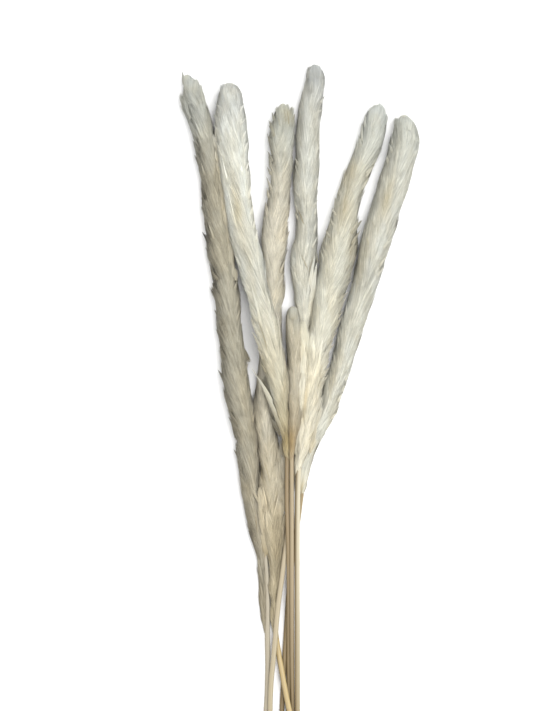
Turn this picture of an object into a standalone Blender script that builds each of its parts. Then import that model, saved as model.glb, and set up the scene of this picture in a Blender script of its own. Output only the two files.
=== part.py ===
"""A bunch of seven dried, bleached pampas grass stalks, lying on a table.

Each stalk is two pieces: a stem, and the plume of down that sheathes the stem's upper end.
The layout is in millimetres. Across is measured to the right, along from the cut ends towards
the tips, and height from the table. Blender's own unit is the metre.
"""
import bmesh
import bpy
from mathutils import Vector

MM = 0.001

# Overall layout
BUNCH_NAME = "pampas_grass_bunch"
TABLE_HEIGHT = 0.0
TABLE_BLOCK = (400.0, 900.0, 40.0)
TABLE_BLOCK_CENTRE = (0.0, 370.0)

# Fits and mesh fineness
CLEARANCE = 0.3
PLUME_STEP = 21.0
STEM_STEP = 19.0
PLUME_BEVEL_RESOLUTION = 4
STEM_BEVEL_RESOLUTION = 2
WELD_DISTANCE = 0.01

# Colours, linear
DOWN_COLOUR = (0.62, 0.58, 0.46, 1.0)
STRAW_COLOUR = (0.58, 0.47, 0.28, 1.0)
DOWN_ROUGHNESS = 0.9
STRAW_ROUGHNESS = 0.55

# Plume rows, tip first: across, along, height of the middle, half width
PLUME_1 = [
    (-115.0, 737.0, 6.5, 2.5),
    (-112.0, 731.0, 8.2, 6.8),
    (-109.5, 724.0, 9.6, 9.6),
    (-106.0, 712.0, 11.0, 11.5),
    (-100.0, 693.0, 11.4, 12.0),
    (-95.7, 671.0, 11.0, 11.5),
    (-92.5, 651.0, 10.1, 10.6),
    (-89.0, 631.0, 9.5, 10.0),
    (-86.5, 606.0, 10.3, 10.8),
    (-84.2, 586.0, 11.0, 11.5),
    (-81.0, 568.0, 11.8, 12.3),
    (-77.5, 543.0, 12.1, 12.6),
    (-73.0, 511.0, 12.0, 12.5),
    (-70.0, 476.0, 11.3, 11.8),
    (-66.0, 446.0, 12.5, 13.0),
    (-62.0, 416.0, 13.1, 13.6),
    (-58.0, 393.0, 12.0, 12.5),
    (-54.7, 376.0, 10.0, 10.5),
    (-52.0, 351.0, 10.3, 10.8),
    (-50.5, 331.0, 8.7, 9.2),
    (-49.5, 311.0, 7.4, 7.9),
    (-47.5, 295.0, 6.8, 7.2),
    (-42.9, 271.0, 5.3, 5.6),
    (-38.3, 251.0, 4.1, 4.4),
    (-37.0, 231.0, 3.8, 4.2),
    (-36.7, 211.0, 3.6, 4.0),
    (-35.5, 193.0, 3.0, 3.4),
]
PLUME_2 = [
    (-71.0, 728.0, 9.6, 4.0),
    (-71.0, 724.5, 11.0, 8.8),
    (-70.4, 718.0, 12.6, 11.8),
    (-69.7, 707.0, 14.0, 13.8),
    (-69.0, 691.0, 15.4, 15.8),
    (-68.0, 671.0, 15.6, 16.0),
    (-66.5, 651.0, 17.0, 15.3),
    (-64.5, 631.0, 17.2, 14.0),
    (-62.0, 611.0, 17.8, 14.0),
    (-59.0, 591.0, 18.8, 13.7),
    (-55.0, 571.0, 20.3, 13.5),
    (-50.0, 549.0, 23.7, 12.9),
    (-43.0, 521.0, 28.7, 11.5),
    (-37.5, 501.0, 31.4, 11.5),
    (-32.8, 479.0, 33.2, 12.3),
    (-27.8, 453.0, 33.2, 12.3),
    (-22.8, 431.0, 30.2, 10.2),
    (-19.7, 411.0, 25.7, 7.3),
    (-16.1, 391.0, 22.2, 5.1),
    (-13.0, 371.0, 20.3, 4.2),
    (-12.4, 361.0, 19.6, 3.6),
]
PLUME_3 = [
    (-14.5, 707.5, 7.0, 3.0),
    (-16.0, 704.0, 8.4, 7.4),
    (-16.5, 698.0, 9.9, 10.3),
    (-17.0, 689.0, 11.4, 11.9),
    (-18.7, 676.0, 11.8, 12.3),
    (-19.0, 656.0, 10.9, 11.4),
    (-21.0, 631.0, 10.5, 11.0),
    (-23.0, 611.0, 10.7, 11.2),
    (-24.0, 593.0, 12.4, 12.9),
    (-25.5, 571.0, 12.1, 12.6),
    (-27.5, 546.0, 11.2, 11.7),
    (-29.0, 521.0, 10.5, 11.0),
    (-29.7, 491.0, 10.0, 10.5),
    (-30.5, 461.0, 9.6, 10.1),
    (-33.5, 436.0, 8.8, 9.3),
    (-36.0, 416.0, 8.6, 9.1),
    (-35.0, 386.0, 8.6, 9.1),
    (-32.7, 366.0, 8.8, 9.3),
    (-30.0, 349.0, 10.0, 10.5),
    (-28.5, 329.0, 11.0, 11.5),
    (-28.0, 311.0, 11.0, 11.4),
    (-26.8, 291.0, 9.7, 10.1),
    (-25.2, 271.0, 8.3, 8.7),
    (-24.4, 251.0, 6.3, 6.7),
    (-24.6, 231.0, 5.2, 5.6),
    (-25.1, 211.0, 4.2, 4.6),
    (-25.4, 189.0, 3.4, 3.9),
]
PLUME_4 = [
    (14.8, 747.0, 5.0, 3.4),
    (15.0, 743.5, 6.6, 6.8),
    (15.4, 736.0, 8.6, 9.0),
    (15.0, 725.0, 10.5, 11.0),
    (11.8, 711.0, 11.0, 11.5),
    (9.5, 695.0, 10.2, 10.7),
    (8.0, 671.0, 10.6, 11.1),
    (7.0, 649.0, 11.2, 11.7),
    (6.0, 626.0, 11.1, 11.6),
    (6.0, 601.0, 10.5, 11.0),
    (7.0, 576.0, 9.4, 9.9),
    (4.0, 559.0, 11.9, 12.4),
    (3.0, 543.0, 12.5, 13.0),
    (4.5, 523.0, 9.9, 10.4),
    (5.0, 501.0, 7.7, 8.2),
    (5.0, 481.0, 6.1, 6.6),
    (4.0, 456.0, 5.5, 6.0),
    (2.5, 431.0, 4.9, 5.3),
    (0.5, 411.0, 4.8, 4.6),
    (-1.0, 396.0, 5.2, 3.9),
]
PLUME_5 = [
    (78.5, 706.5, 6.4, 3.6),
    (78.0, 703.0, 7.9, 7.9),
    (77.0, 696.0, 10.3, 10.8),
    (74.0, 686.0, 11.9, 12.4),
    (70.5, 671.0, 11.9, 12.4),
    (65.0, 654.0, 11.3, 11.8),
    (58.0, 636.0, 10.9, 11.4),
    (50.5, 618.0, 11.3, 11.8),
    (45.5, 599.0, 13.2, 13.7),
    (42.0, 579.0, 14.8, 15.3),
    (38.0, 561.0, 16.2, 16.7),
    (35.5, 541.0, 15.6, 16.0),
    (30.2, 521.0, 15.0, 14.8),
    (26.5, 501.0, 15.6, 13.8),
    (22.0, 481.0, 16.6, 12.2),
    (18.0, 461.0, 17.6, 11.3),
    (14.7, 439.0, 18.4, 10.8),
    (11.0, 419.0, 18.9, 10.2),
    (8.6, 399.0, 19.1, 9.2),
    (5.5, 379.0, 18.9, 7.6),
    (1.7, 361.0, 18.4, 5.0),
    (-0.8, 349.0, 18.0, 3.9),
]
PLUME_6 = [
    (103.6, 695.0, 6.8, 4.4),
    (104.4, 692.0, 8.8, 8.6),
    (105.5, 684.0, 11.0, 11.5),
    (105.8, 671.0, 14.0, 14.5),
    (103.0, 659.0, 14.6, 15.1),
    (99.0, 646.0, 14.0, 14.5),
    (94.5, 629.0, 14.4, 14.9),
    (89.5, 611.0, 13.6, 14.1),
    (83.5, 593.0, 13.5, 14.0),
    (77.5, 573.0, 14.3, 14.8),
    (73.0, 555.0, 13.5, 14.0),
    (68.0, 535.0, 11.1, 11.6),
    (60.0, 511.0, 11.5, 12.0),
    (53.0, 489.0, 11.5, 12.0),
    (47.0, 468.0, 10.7, 11.2),
    (41.5, 446.0, 9.7, 10.2),
    (35.0, 424.0, 8.9, 9.4),
    (29.0, 403.0, 9.1, 9.6),
    (20.5, 387.0, 8.0, 8.4),
    (12.5, 370.0, 6.4, 6.4),
    (7.6, 352.0, 5.1, 5.0),
    (4.5, 336.0, 4.3, 4.4),
    (2.7, 325.0, 3.9, 3.6),
]
PLUME_7 = [
    (-7.0, 505.5, 15.4, 2.6),
    (-7.0, 502.0, 15.8, 4.8),
    (-6.5, 495.0, 16.6, 6.6),
    (-6.0, 481.0, 17.4, 7.6),
    (-5.8, 461.0, 18.9, 7.6),
    (-5.7, 439.0, 20.9, 7.2),
    (-5.7, 419.0, 22.8, 6.4),
    (-6.0, 401.0, 24.9, 5.4),
    (-6.6, 385.0, 26.4, 4.4),
    (-7.6, 371.0, 26.6, 3.6),
    (-8.2, 361.0, 26.2, 3.1),
]

# Stem rows, from the end held in the plume to the cut end: across, along, height
STEM_1 = [
    (-49.0, 356.0, 9.5),
    (-46.5, 336.0, 10.5),
    (-44.0, 314.0, 10.8),
    (-41.5, 299.0, 10.0),
    (-38.7, 281.0, 8.5),
    (-35.3, 259.0, 6.6),
    (-33.3, 236.0, 5.0),
    (-32.7, 206.0, 3.6),
    (-32.5, 171.0, 2.9),
    (-32.1, 141.0, 2.75),
    (-32.7, 116.0, 2.7),
    (-34.2, 91.0, 2.7),
    (-37.5, 46.0, 2.7),
    (-41.0, 6.0, 2.7),
]
STEM_2 = [
    (-17.85, 401.0, 24.0),
    (-16.0, 391.0, 22.3),
    (-13.0, 371.0, 20.3),
    (-12.4, 361.0, 19.6),
    (-12.8, 336.0, 18.4),
    (-13.0, 311.0, 17.5),
    (-12.3, 286.0, 16.9),
    (-11.3, 256.0, 15.2),
    (-11.0, 221.0, 11.8),
    (-11.0, 186.0, 8.4),
    (-11.1, 156.0, 5.7),
    (-11.4, 126.0, 3.8),
    (-11.7, 100.0, 2.8),
    (-11.9, 60.0, 2.5),
    (-12.2, 0.0, 2.4),
]
STEM_3 = [
    (-24.4, 251.0, 6.2),
    (-24.6, 231.0, 5.2),
    (-25.1, 211.0, 4.2),
    (-25.3, 189.0, 3.4),
    (-24.4, 177.0, 3.2),
    (-22.2, 162.0, 4.1),
    (-20.4, 151.0, 5.8),
    (-18.5, 141.0, 7.8),
    (-16.6, 130.0, 8.9),
    (-13.2, 112.0, 9.7),
    (-10.7, 100.0, 10.1),
    (-5.0, 73.0, 10.9),
    (1.0, 43.0, 11.1),
    (8.0, 9.0, 11.0),
]
STEM_4 = [
    (4.0, 456.0, 5.6),
    (2.5, 431.0, 5.1),
    (0.5, 411.0, 4.9),
    (-1.0, 396.0, 5.2),
    (-3.0, 381.0, 5.8),
    (-5.0, 361.0, 7.0),
    (-7.5, 336.0, 8.6),
    (-10.3, 311.0, 10.0),
    (-12.0, 291.0, 10.9),
    (-13.4, 271.0, 11.3),
    (-16.0, 251.0, 11.5),
    (-18.4, 231.0, 11.4),
    (-21.2, 211.0, 10.9),
    (-23.3, 191.0, 10.0),
    (-24.8, 171.0, 9.3),
    (-26.7, 151.0, 8.8),
    (-28.7, 131.0, 8.3),
    (-29.7, 111.0, 7.5),
    (-30.0, 76.0, 5.6),
    (-29.6, 36.0, 3.6),
    (-29.0, 3.0, 2.6),
]
STEM_5 = [
    (8.6, 399.0, 19.1),
    (5.5, 379.0, 18.9),
    (1.7, 361.0, 18.4),
    (-0.8, 349.0, 18.0),
    (-2.0, 336.0, 17.7),
    (-2.6, 311.0, 17.0),
    (-2.9, 271.0, 15.4),
    (-2.9, 231.0, 13.5),
    (-2.7, 186.0, 11.0),
    (-2.6, 141.0, 8.4),
    (-2.6, 100.0, 6.4),
    (-2.3, 61.0, 4.4),
    (-1.5, 2.0, 2.8),
]
STEM_6 = [
    (9.8, 361.0, 5.7),
    (7.6, 352.0, 5.1),
    (4.5, 336.0, 4.4),
    (2.7, 325.0, 4.0),
    (0.8, 311.0, 3.7),
    (-2.0, 289.0, 3.4),
    (-5.7, 266.0, 3.1),
    (-9.0, 241.0, 2.9),
    (-11.5, 216.0, 2.7),
    (-13.3, 186.0, 2.6),
    (-14.8, 161.0, 2.5),
    (-16.3, 136.0, 2.5),
    (-18.1, 100.0, 2.5),
    (-20.5, 56.0, 2.5),
    (-23.0, 7.0, 2.5),
]
STEM_7 = [
    (-6.0, 401.0, 24.9),
    (-6.6, 385.0, 26.4),
    (-7.6, 371.0, 26.6),
    (-8.2, 361.0, 26.2),
    (-8.3, 336.0, 24.0),
    (-8.1, 311.0, 22.5),
    (-8.0, 281.0, 20.6),
    (-8.0, 251.0, 18.6),
    (-8.0, 221.0, 15.8),
    (-8.0, 186.0, 12.4),
    (-7.9, 156.0, 9.4),
    (-7.6, 126.0, 6.4),
    (-7.3, 100.0, 4.4),
    (-7.2, 61.0, 3.0),
    (-6.8, -4.0, 2.2),
]

# Each stalk: its plume rows, its stem rows and the stem's radius
STALKS = [
    (PLUME_1, STEM_1, 2.6),
    (PLUME_2, STEM_2, 2.3),
    (PLUME_3, STEM_3, 2.7),
    (PLUME_4, STEM_4, 2.5),
    (PLUME_5, STEM_5, 2.7),
    (PLUME_6, STEM_6, 2.4),
    (PLUME_7, STEM_7, 2.0),
]


def clear_scene():
    """Remove every object that the scene starts with."""
    for ob in list(bpy.data.objects):
        bpy.data.objects.remove(ob, do_unlink=True)


def new_collection(name):
    """A new collection linked to the scene."""
    collection = bpy.data.collections.new(name)
    bpy.context.scene.collection.children.link(collection)
    return collection


def plain_material(name, colour, roughness):
    """One Principled material."""
    material = bpy.data.materials.new(name)
    material.use_nodes = True
    shader = material.node_tree.nodes["Principled BSDF"]
    shader.inputs["Base Color"].default_value = colour
    shader.inputs["Roughness"].default_value = roughness
    shader.inputs["Metallic"].default_value = 0.0
    material.diffuse_color = colour
    return material


def smooth_rows(rows, step):
    """Rows read at about every step from the smooth curve that runs through the given rows."""
    points = [Vector(row) for row in rows]
    first = points[0] * 2 - points[1]
    last = points[-1] * 2 - points[-2]
    guides = [first, *points, last]
    smooth = []
    for before, start, end, after in zip(guides, guides[1:], guides[2:], guides[3:]):
        pieces = max(1, round((end - start).length / step))
        for piece in range(pieces):
            t = piece / pieces
            smooth.append(
                0.5
                * (
                    2 * start
                    + (end - before) * t
                    + (2 * before - 5 * start + 4 * end - after) * t**2
                    + (3 * start - before - 3 * end + after) * t**3
                )
            )
    smooth.append(points[-1])
    return smooth


def tube(name, points, radii, bevel_resolution, collection):
    """A closed tube mesh along the points, in millimetres, with a radius at each."""
    curve = bpy.data.curves.new(name + "_line", "CURVE")
    curve.dimensions = "3D"
    curve.twist_mode = "Z_UP"
    curve.bevel_depth = MM
    curve.bevel_resolution = bevel_resolution
    curve.use_fill_caps = True
    line = curve.splines.new("POLY")
    line.points.add(len(points) - 1)
    for spot, point, radius in zip(line.points, points, radii):
        spot.co = (*(Vector(point[:3]) * MM), 1.0)
        spot.radius = radius
    line.use_smooth = True
    guide = bpy.data.objects.new(name + "_line", curve)
    collection.objects.link(guide)
    bpy.context.view_layer.update()
    depsgraph = bpy.context.evaluated_depsgraph_get()
    mesh = bpy.data.meshes.new_from_object(guide.evaluated_get(depsgraph))
    mesh.name = name
    ob = bpy.data.objects.new(name, mesh)
    ob.matrix_world = guide.matrix_world.copy()
    collection.objects.link(ob)
    bpy.data.objects.remove(guide, do_unlink=True)
    welded = bmesh.new()
    welded.from_mesh(mesh)
    bmesh.ops.remove_doubles(welded, verts=welded.verts, dist=WELD_DISTANCE * MM)
    bmesh.ops.recalc_face_normals(welded, faces=welded.faces)
    welded.to_mesh(mesh)
    welded.free()
    mesh.materials.clear()
    mesh.shade_smooth()
    return ob


def make_cutter(ob):
    """Mark an object as a cutter."""
    ob.hide_render = True
    ob.display_type = "WIRE"


def cut(ob, cutter):
    """Take the cutter's shape out of the object."""
    boolean = ob.modifiers.new("cut by " + cutter.name, "BOOLEAN")
    boolean.operation = "DIFFERENCE"
    boolean.solver = "EXACT"
    boolean.object = cutter


def table_block(collection):
    """The block under the table plane, which flattens what lies on it."""
    bpy.ops.mesh.primitive_cube_add(size=1.0)
    block = bpy.context.active_object
    block.name = "table_block"
    for owner in list(block.users_collection):
        owner.objects.unlink(block)
    collection.objects.link(block)
    width, length, depth = TABLE_BLOCK
    across, along = TABLE_BLOCK_CENTRE
    block.scale = (width * MM, length * MM, depth * MM)
    block.location = (across * MM, along * MM, (TABLE_HEIGHT - depth / 2) * MM)
    make_cutter(block)
    return block


def make_stem(number, rows, radius, material, parts):
    """The bare stalk from inside the plume's base to its cut end."""
    points = smooth_rows(rows, STEM_STEP)
    stem = tube(f"stem_{number}", points, [radius] * len(points), STEM_BEVEL_RESOLUTION, parts)
    stem.data.materials.append(material)
    return stem


def make_plume(number, rows, stem_rows, stem_radius, block, material, parts, cutters):
    """The down around a stalk's upper end, hollowed for its stem and flat where it lies."""
    points = smooth_rows(rows, PLUME_STEP)
    half_widths = [point[3] for point in points]
    plume = tube(f"plume_{number}", points, half_widths, PLUME_BEVEL_RESOLUTION, parts)
    plume.data.materials.append(material)
    bore_points = smooth_rows(stem_rows, STEM_STEP)
    bore_radii = [stem_radius + CLEARANCE] * len(bore_points)
    bore = tube(f"stem_bore_{number}", bore_points, bore_radii, STEM_BEVEL_RESOLUTION, cutters)
    make_cutter(bore)
    cut(plume, bore)
    cut(plume, block)
    return plume


def bounds(objects):
    """Lowest and highest corner of the objects as they are evaluated."""
    bpy.context.view_layer.update()
    depsgraph = bpy.context.evaluated_depsgraph_get()
    corners = []
    for ob in objects:
        shape = ob.evaluated_get(depsgraph)
        corners += [shape.matrix_world @ vertex.co for vertex in shape.data.vertices]
    low = Vector(min(corner[axis] for corner in corners) for axis in range(3))
    high = Vector(max(corner[axis] for corner in corners) for axis in range(3))
    return low, high


def centre_on_table(parts, cutters):
    """Bring the middle of the bunch's footprint to the origin, through one parent empty."""
    low, high = bounds(parts.objects)
    frame = bpy.data.objects.new("bunch_frame", None)
    parts.objects.link(frame)
    for ob in [*parts.objects, *cutters.objects]:
        if ob is not frame:
            ob.parent = frame
    frame.location = (-(low.x + high.x) / 2, -(low.y + high.y) / 2, -low.z)
    bpy.context.view_layer.update()


def main():
    """Build the bunch."""
    clear_scene()
    parts = new_collection(BUNCH_NAME)
    cutters = new_collection("cutters")
    down = plain_material("bleached_down", DOWN_COLOUR, DOWN_ROUGHNESS)
    straw = plain_material("dry_straw", STRAW_COLOUR, STRAW_ROUGHNESS)
    block = table_block(cutters)
    for number, (plume_rows, stem_rows, radius) in enumerate(STALKS, start=1):
        make_stem(number, stem_rows, radius, straw, parts)
        make_plume(number, plume_rows, stem_rows, radius, block, down, parts, cutters)
    centre_on_table(parts, cutters)


main()
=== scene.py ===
"""Looks of a bunch of seven dried, bleached pampas grass stalks lying on a pale table.

Each plume is a close felt of under-down with many thousands of fine tapered fibres combed over it, tufts that
stand out of its outline and bands of locks over the hollows beside it. Each stem is a smooth straw with
joints, streaks and a cut end. Both follow the middle line and girth of their solids. Lengths are in metres
unless their name or their note says millimetres, pixels or shares.
"""

import logging
import math
from dataclasses import dataclass, field, replace
from enum import Enum

import bpy
import numpy as np
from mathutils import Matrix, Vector


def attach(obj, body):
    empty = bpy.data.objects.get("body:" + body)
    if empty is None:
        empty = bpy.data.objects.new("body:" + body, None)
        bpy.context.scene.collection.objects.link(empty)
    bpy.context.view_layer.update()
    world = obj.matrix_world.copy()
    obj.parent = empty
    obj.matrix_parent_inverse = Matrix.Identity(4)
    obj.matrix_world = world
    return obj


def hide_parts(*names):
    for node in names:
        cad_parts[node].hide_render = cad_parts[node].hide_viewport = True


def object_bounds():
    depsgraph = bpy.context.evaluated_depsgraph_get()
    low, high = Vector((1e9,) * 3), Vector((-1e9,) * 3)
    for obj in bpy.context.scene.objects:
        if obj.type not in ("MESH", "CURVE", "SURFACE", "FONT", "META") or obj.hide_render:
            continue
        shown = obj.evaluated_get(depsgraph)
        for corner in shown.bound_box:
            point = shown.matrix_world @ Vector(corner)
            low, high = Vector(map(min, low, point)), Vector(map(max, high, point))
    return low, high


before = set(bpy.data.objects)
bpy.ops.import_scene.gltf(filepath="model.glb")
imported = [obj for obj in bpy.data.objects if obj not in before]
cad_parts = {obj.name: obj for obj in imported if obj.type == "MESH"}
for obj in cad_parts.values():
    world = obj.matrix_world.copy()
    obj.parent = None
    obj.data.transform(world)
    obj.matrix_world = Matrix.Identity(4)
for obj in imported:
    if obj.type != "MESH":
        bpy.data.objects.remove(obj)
CAD_LOW, CAD_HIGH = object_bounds()

LOG = logging.getLogger("pampas")
MM = 0.001
BODY = "root"
UV_MAP = "OFBake"

# The photograph's frame: one pixel is one millimetre on the bunch
PICTURE_WIDTH_MM = 533.0
PICTURE_HEIGHT_MM = 711.0
FOOT_IN_PICTURE_MM = 815.0
MIDDLE_IN_PICTURE_MM = 300.8
CAMERA_HEIGHT = 4.0
SENSOR_MM = 36.0
BUNCH_MID_HEIGHT = 0.016
TABLE_GAP = 0.0003
FULL_TURN = 2.0 * math.pi
SEED = 100


class Side(Enum):
    """An edge of a plume as the photograph shows it."""

    LEFT = -1.0
    RIGHT = 1.0


class TuftForm(Enum):
    """How a tuft is spread: its width at the root, half way and at the tip, as shares of its full width."""

    BARB = (1.0, 0.75, 0.10)
    LOBE = (0.8, 1.0, 0.75)
    MAT = (0.35, 1.0, 0.6)


def picture_to_bunch(across_px: float, down_px: float) -> tuple[float, float]:
    """Turn a place in the photograph into a place on the bunch.

    Args:
        across_px: pixels from the photograph's left edge.
        down_px: pixels from its top edge.

    Returns:
        Across and along in metres, in the frame of the bunch.
    """
    across = (across_px - MIDDLE_IN_PICTURE_MM) * MM
    along = CAD_LOW.y + (FOOT_IN_PICTURE_MM - down_px) * MM
    return across, along


def unit(vectors: np.ndarray) -> np.ndarray:
    """Vectors of length one."""
    return vectors / np.maximum(np.linalg.norm(vectors, axis=-1, keepdims=True), 1e-12)


def soften(values: np.ndarray, reach: int) -> np.ndarray:
    """Running means along the first axis.

    Args:
        values: rows to average.
        reach: how many neighbours on each side count.

    Returns:
        As many rows, each the mean of its neighbourhood.
    """
    rows = values.reshape(len(values), -1)
    padded = np.pad(rows, ((reach, reach), (0, 0)), mode="edge")
    kernel = np.ones(2 * reach + 1) / (2 * reach + 1)
    means = [np.convolve(padded[:, k], kernel, "valid") for k in range(rows.shape[1])]
    return np.stack(means, axis=1).reshape(values.shape)


def ease(share: np.ndarray) -> np.ndarray:
    """A soft step: 0 at 0, 1 at 1 and level at both ends."""
    return share * share * (3.0 - 2.0 * share)


@dataclass
class Axis:
    """The middle line and girth of one CAD solid, from its lower end to its upper end.

    Attributes:
        arc: distance of each point of the line from the lower end.
        middle: the points.
        ahead: the way on along the line there.
        up: the way up, square to it.
        side: the way to the right, square to both.
        girth: radius of the solid there.
    """

    arc: np.ndarray
    middle: np.ndarray
    ahead: np.ndarray
    up: np.ndarray
    side: np.ndarray
    girth: np.ndarray

    SPACING = 0.004
    ROUGH_MARGIN = 0.006
    INSET = 0.0004
    NEARBY = 0.06
    OVERHANG = 0.04
    SMOOTHING = 3
    FINE_STEPS = 2400

    @classmethod
    def of_node(cls, node: str) -> "Axis":
        """Read the line and girth from slices across the node's solid.

        Args:
            node: name of the CAD node.

        Returns:
            The node's axis.
        """
        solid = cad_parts[node]
        matrix = np.array(solid.matrix_world)
        corners = np.empty(len(solid.data.vertices) * 3)
        solid.data.vertices.foreach_get("co", corners)
        corners = corners.reshape(-1, 3) @ matrix[:3, :3].T + matrix[:3, 3]
        edges = np.empty(len(solid.data.edges) * 2, dtype=np.int64)
        solid.data.edges.foreach_get("vertices", edges)
        edges = corners[edges.reshape(-1, 2)]
        low, high = corners[:, 1].min() + cls.ROUGH_MARGIN, corners[:, 1].max() - cls.ROUGH_MARGIN
        rough = []
        for station in np.linspace(low, high, int((high - low) / cls.SPACING) + 2):
            ring = cls.slice(edges, np.array([0.0, station, 0.0]), np.array([0.0, 1.0, 0.0]), math.inf)
            rough.append((ring.min(axis=0) + ring.max(axis=0)) / 2.0)
        rough = np.array(rough)
        ahead, up, side = cls.directions(rough)
        before = float(((corners - rough[0]) @ ahead[0]).min()) + cls.INSET
        after = float(((corners - rough[-1]) @ ahead[-1]).max()) - cls.INSET
        rough = np.concatenate([rough[:1] + ahead[0] * before, rough, rough[-1:] + ahead[-1] * after])
        ahead, up, side = (np.concatenate([rows[:1], rows, rows[-1:]]) for rows in (ahead, up, side))
        middle, girth = [], []
        for k, place in enumerate(rough):
            ring = cls.slice(edges, place, ahead[k], cls.NEARBY) - place
            left, right = (ring @ side[k]).min(), (ring @ side[k]).max()
            girth.append((right - left) / 2.0)
            rise = (ring @ up[k]).max() - girth[-1]
            middle.append(place + side[k] * (left + right) / 2.0 + up[k] * rise)
        middle = np.array(middle)
        ahead, up, side = cls.directions(middle)
        arc = np.concatenate([[0.0], np.cumsum(np.linalg.norm(np.diff(middle, axis=0), axis=1))])
        return cls(arc, middle, ahead, up, side, np.array(girth))

    @staticmethod
    def slice(edges: np.ndarray, place: np.ndarray, normal: np.ndarray, nearby: float) -> np.ndarray:
        """Points where a plane cuts a solid's edges.

        Args:
            edges: edge by end by coordinate.
            place: a point of the plane.
            normal: its normal.
            nearby: how far from the point an edge may lie.

        Returns:
            The points.
        """
        before, after = ((edges - place) @ normal).T
        cut = (before * after < 0.0) & (np.linalg.norm(edges[:, 0] - place, axis=1) < nearby)
        share = (before[cut] / (before[cut] - after[cut]))[:, None]
        return edges[cut, 0] + (edges[cut, 1] - edges[cut, 0]) * share

    @staticmethod
    def directions(middle: np.ndarray) -> tuple[np.ndarray, np.ndarray, np.ndarray]:
        """The ways ahead, up and to the right along a line.

        Args:
            middle: points of the line.

        Returns:
            The three directions at each point.
        """
        ahead = unit(soften(unit(np.gradient(middle, axis=0)), Axis.SMOOTHING))
        skyward = np.array([0.0, 0.0, 1.0])
        up = unit(skyward - ahead * (ahead @ skyward)[:, None])
        return ahead, up, np.cross(ahead, up)

    @property
    def length(self) -> float:
        """Length of the middle line."""
        return float(self.arc[-1])

    def read(self, values: np.ndarray, arc: np.ndarray) -> np.ndarray:
        """Values of the axis at any places along it.

        Args:
            values: one row for each point of the axis.
            arc: distances from the lower end.

        Returns:
            The rows at those distances.
        """
        if values.ndim == 1:
            return np.interp(arc, self.arc, values)
        return np.stack([np.interp(arc, self.arc, values[:, k]) for k in range(values.shape[1])], axis=-1)

    def levelled(self, reach: float) -> "Axis":
        """The same axis with the droop taken out of its upper end.

        Args:
            reach: how much of the upper end runs straight on instead.

        Returns:
            The new axis.
        """
        start = self.length - reach
        height = self.middle[:, 2]
        first, last = np.interp((start - reach, start), self.arc, height)
        straight = last + (self.arc - start) * (last - first) / reach
        middle = self.middle.copy()
        middle[:, 2] = np.where(self.arc > start, np.maximum(straight, self.girth), height)
        return Axis(self.arc, middle, self.ahead, self.up, self.side, self.girth)

    def centre(self, arc: np.ndarray) -> np.ndarray:
        """Points of the middle line, which runs straight on past both of its ends."""
        before, after = np.minimum(arc, 0.0)[..., None], np.maximum(arc - self.length, 0.0)[..., None]
        return self.read(self.middle, arc) + before * self.ahead[0] + after * self.ahead[-1]

    def nearest(self, across: float, along: float) -> tuple[float, float]:
        """The place on the line beside a point seen from above.

        Args:
            across: of the point.
            along: of the point.

        Returns:
            The distance from the lower end, and how far to the right of the line the point lies.
        """
        fine = np.linspace(-self.OVERHANG, self.length + self.OVERHANG, self.FINE_STEPS)
        line, side = self.centre(fine), self.read(self.side, fine)
        gap = np.array([across, along]) - line[:, :2]
        best = int(np.argmin(np.linalg.norm(gap, axis=1)))
        return float(fine[best]), float(gap[best] @ unit(side[best, :2]))


@dataclass
class Envelope:
    """The outer shape of a plume round its axis.

    Attributes:
        axis: the plume's axis.
        arc: places along it, from below the plume's lower end, where it hugs the stem.
        girth: radius of the outline there, down to nothing at the blunt upper end.
        body: the same without the rounding of the upper end.
        slope: how fast the outline widens.
        skin: the outline's area from the lower end up to each place.
        shoulder: where the rounding of the upper end starts.
    """

    axis: Axis
    arc: np.ndarray
    girth: np.ndarray
    body: np.ndarray
    slope: np.ndarray
    skin: np.ndarray
    shoulder: float

    FOOT_REACH = 0.016
    FOOT_GIRTH = 0.0007
    RING_SPACING = 0.002
    SQUARENESS = 3.0
    DROOP_REACH = 0.016
    DOME_RINGS = 10

    @classmethod
    def of_axis(cls, axis: Axis, rounding: float) -> "Envelope":
        """Work the outline out from the axis, draw its foot in to the stem and round its upper end off.

        Args:
            axis: the plume's axis.
            rounding: how far below the upper end the rounding starts.

        Returns:
            The outline.
        """
        axis = axis.levelled(cls.DROOP_REACH)
        shoulder = axis.length - rounding
        rings = np.linspace(-cls.FOOT_REACH, shoulder, int(shoulder / cls.RING_SPACING))
        dome = shoulder + rounding * np.sin(np.linspace(0.0, math.pi / 2.0, cls.DOME_RINGS)[1:])
        arc = np.concatenate([rings, dome])
        body = np.interp(arc, axis.arc, soften(axis.girth, 1))
        foot = np.clip(-arc / cls.FOOT_REACH, 0.0, 1.0)
        body = body + (np.minimum(cls.FOOT_GIRTH, body) - body) * ease(foot)
        reach = np.clip((arc - shoulder) / rounding, 0.0, 1.0)
        girth = body * (1.0 - reach**cls.SQUARENESS) ** (1.0 / cls.SQUARENESS)
        slope = np.gradient(girth, arc)
        rings = FULL_TURN * (girth[1:] + girth[:-1]) / 2.0 * np.hypot(np.diff(arc), np.diff(girth))
        skin = np.concatenate([[0.0], np.cumsum(rings)])
        return cls(axis, arc, girth, body, slope, skin, shoulder)

    def read(self, values: np.ndarray, arc: np.ndarray) -> np.ndarray:
        """Values of the outline at any places along it."""
        return np.interp(arc, self.arc, values)


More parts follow.
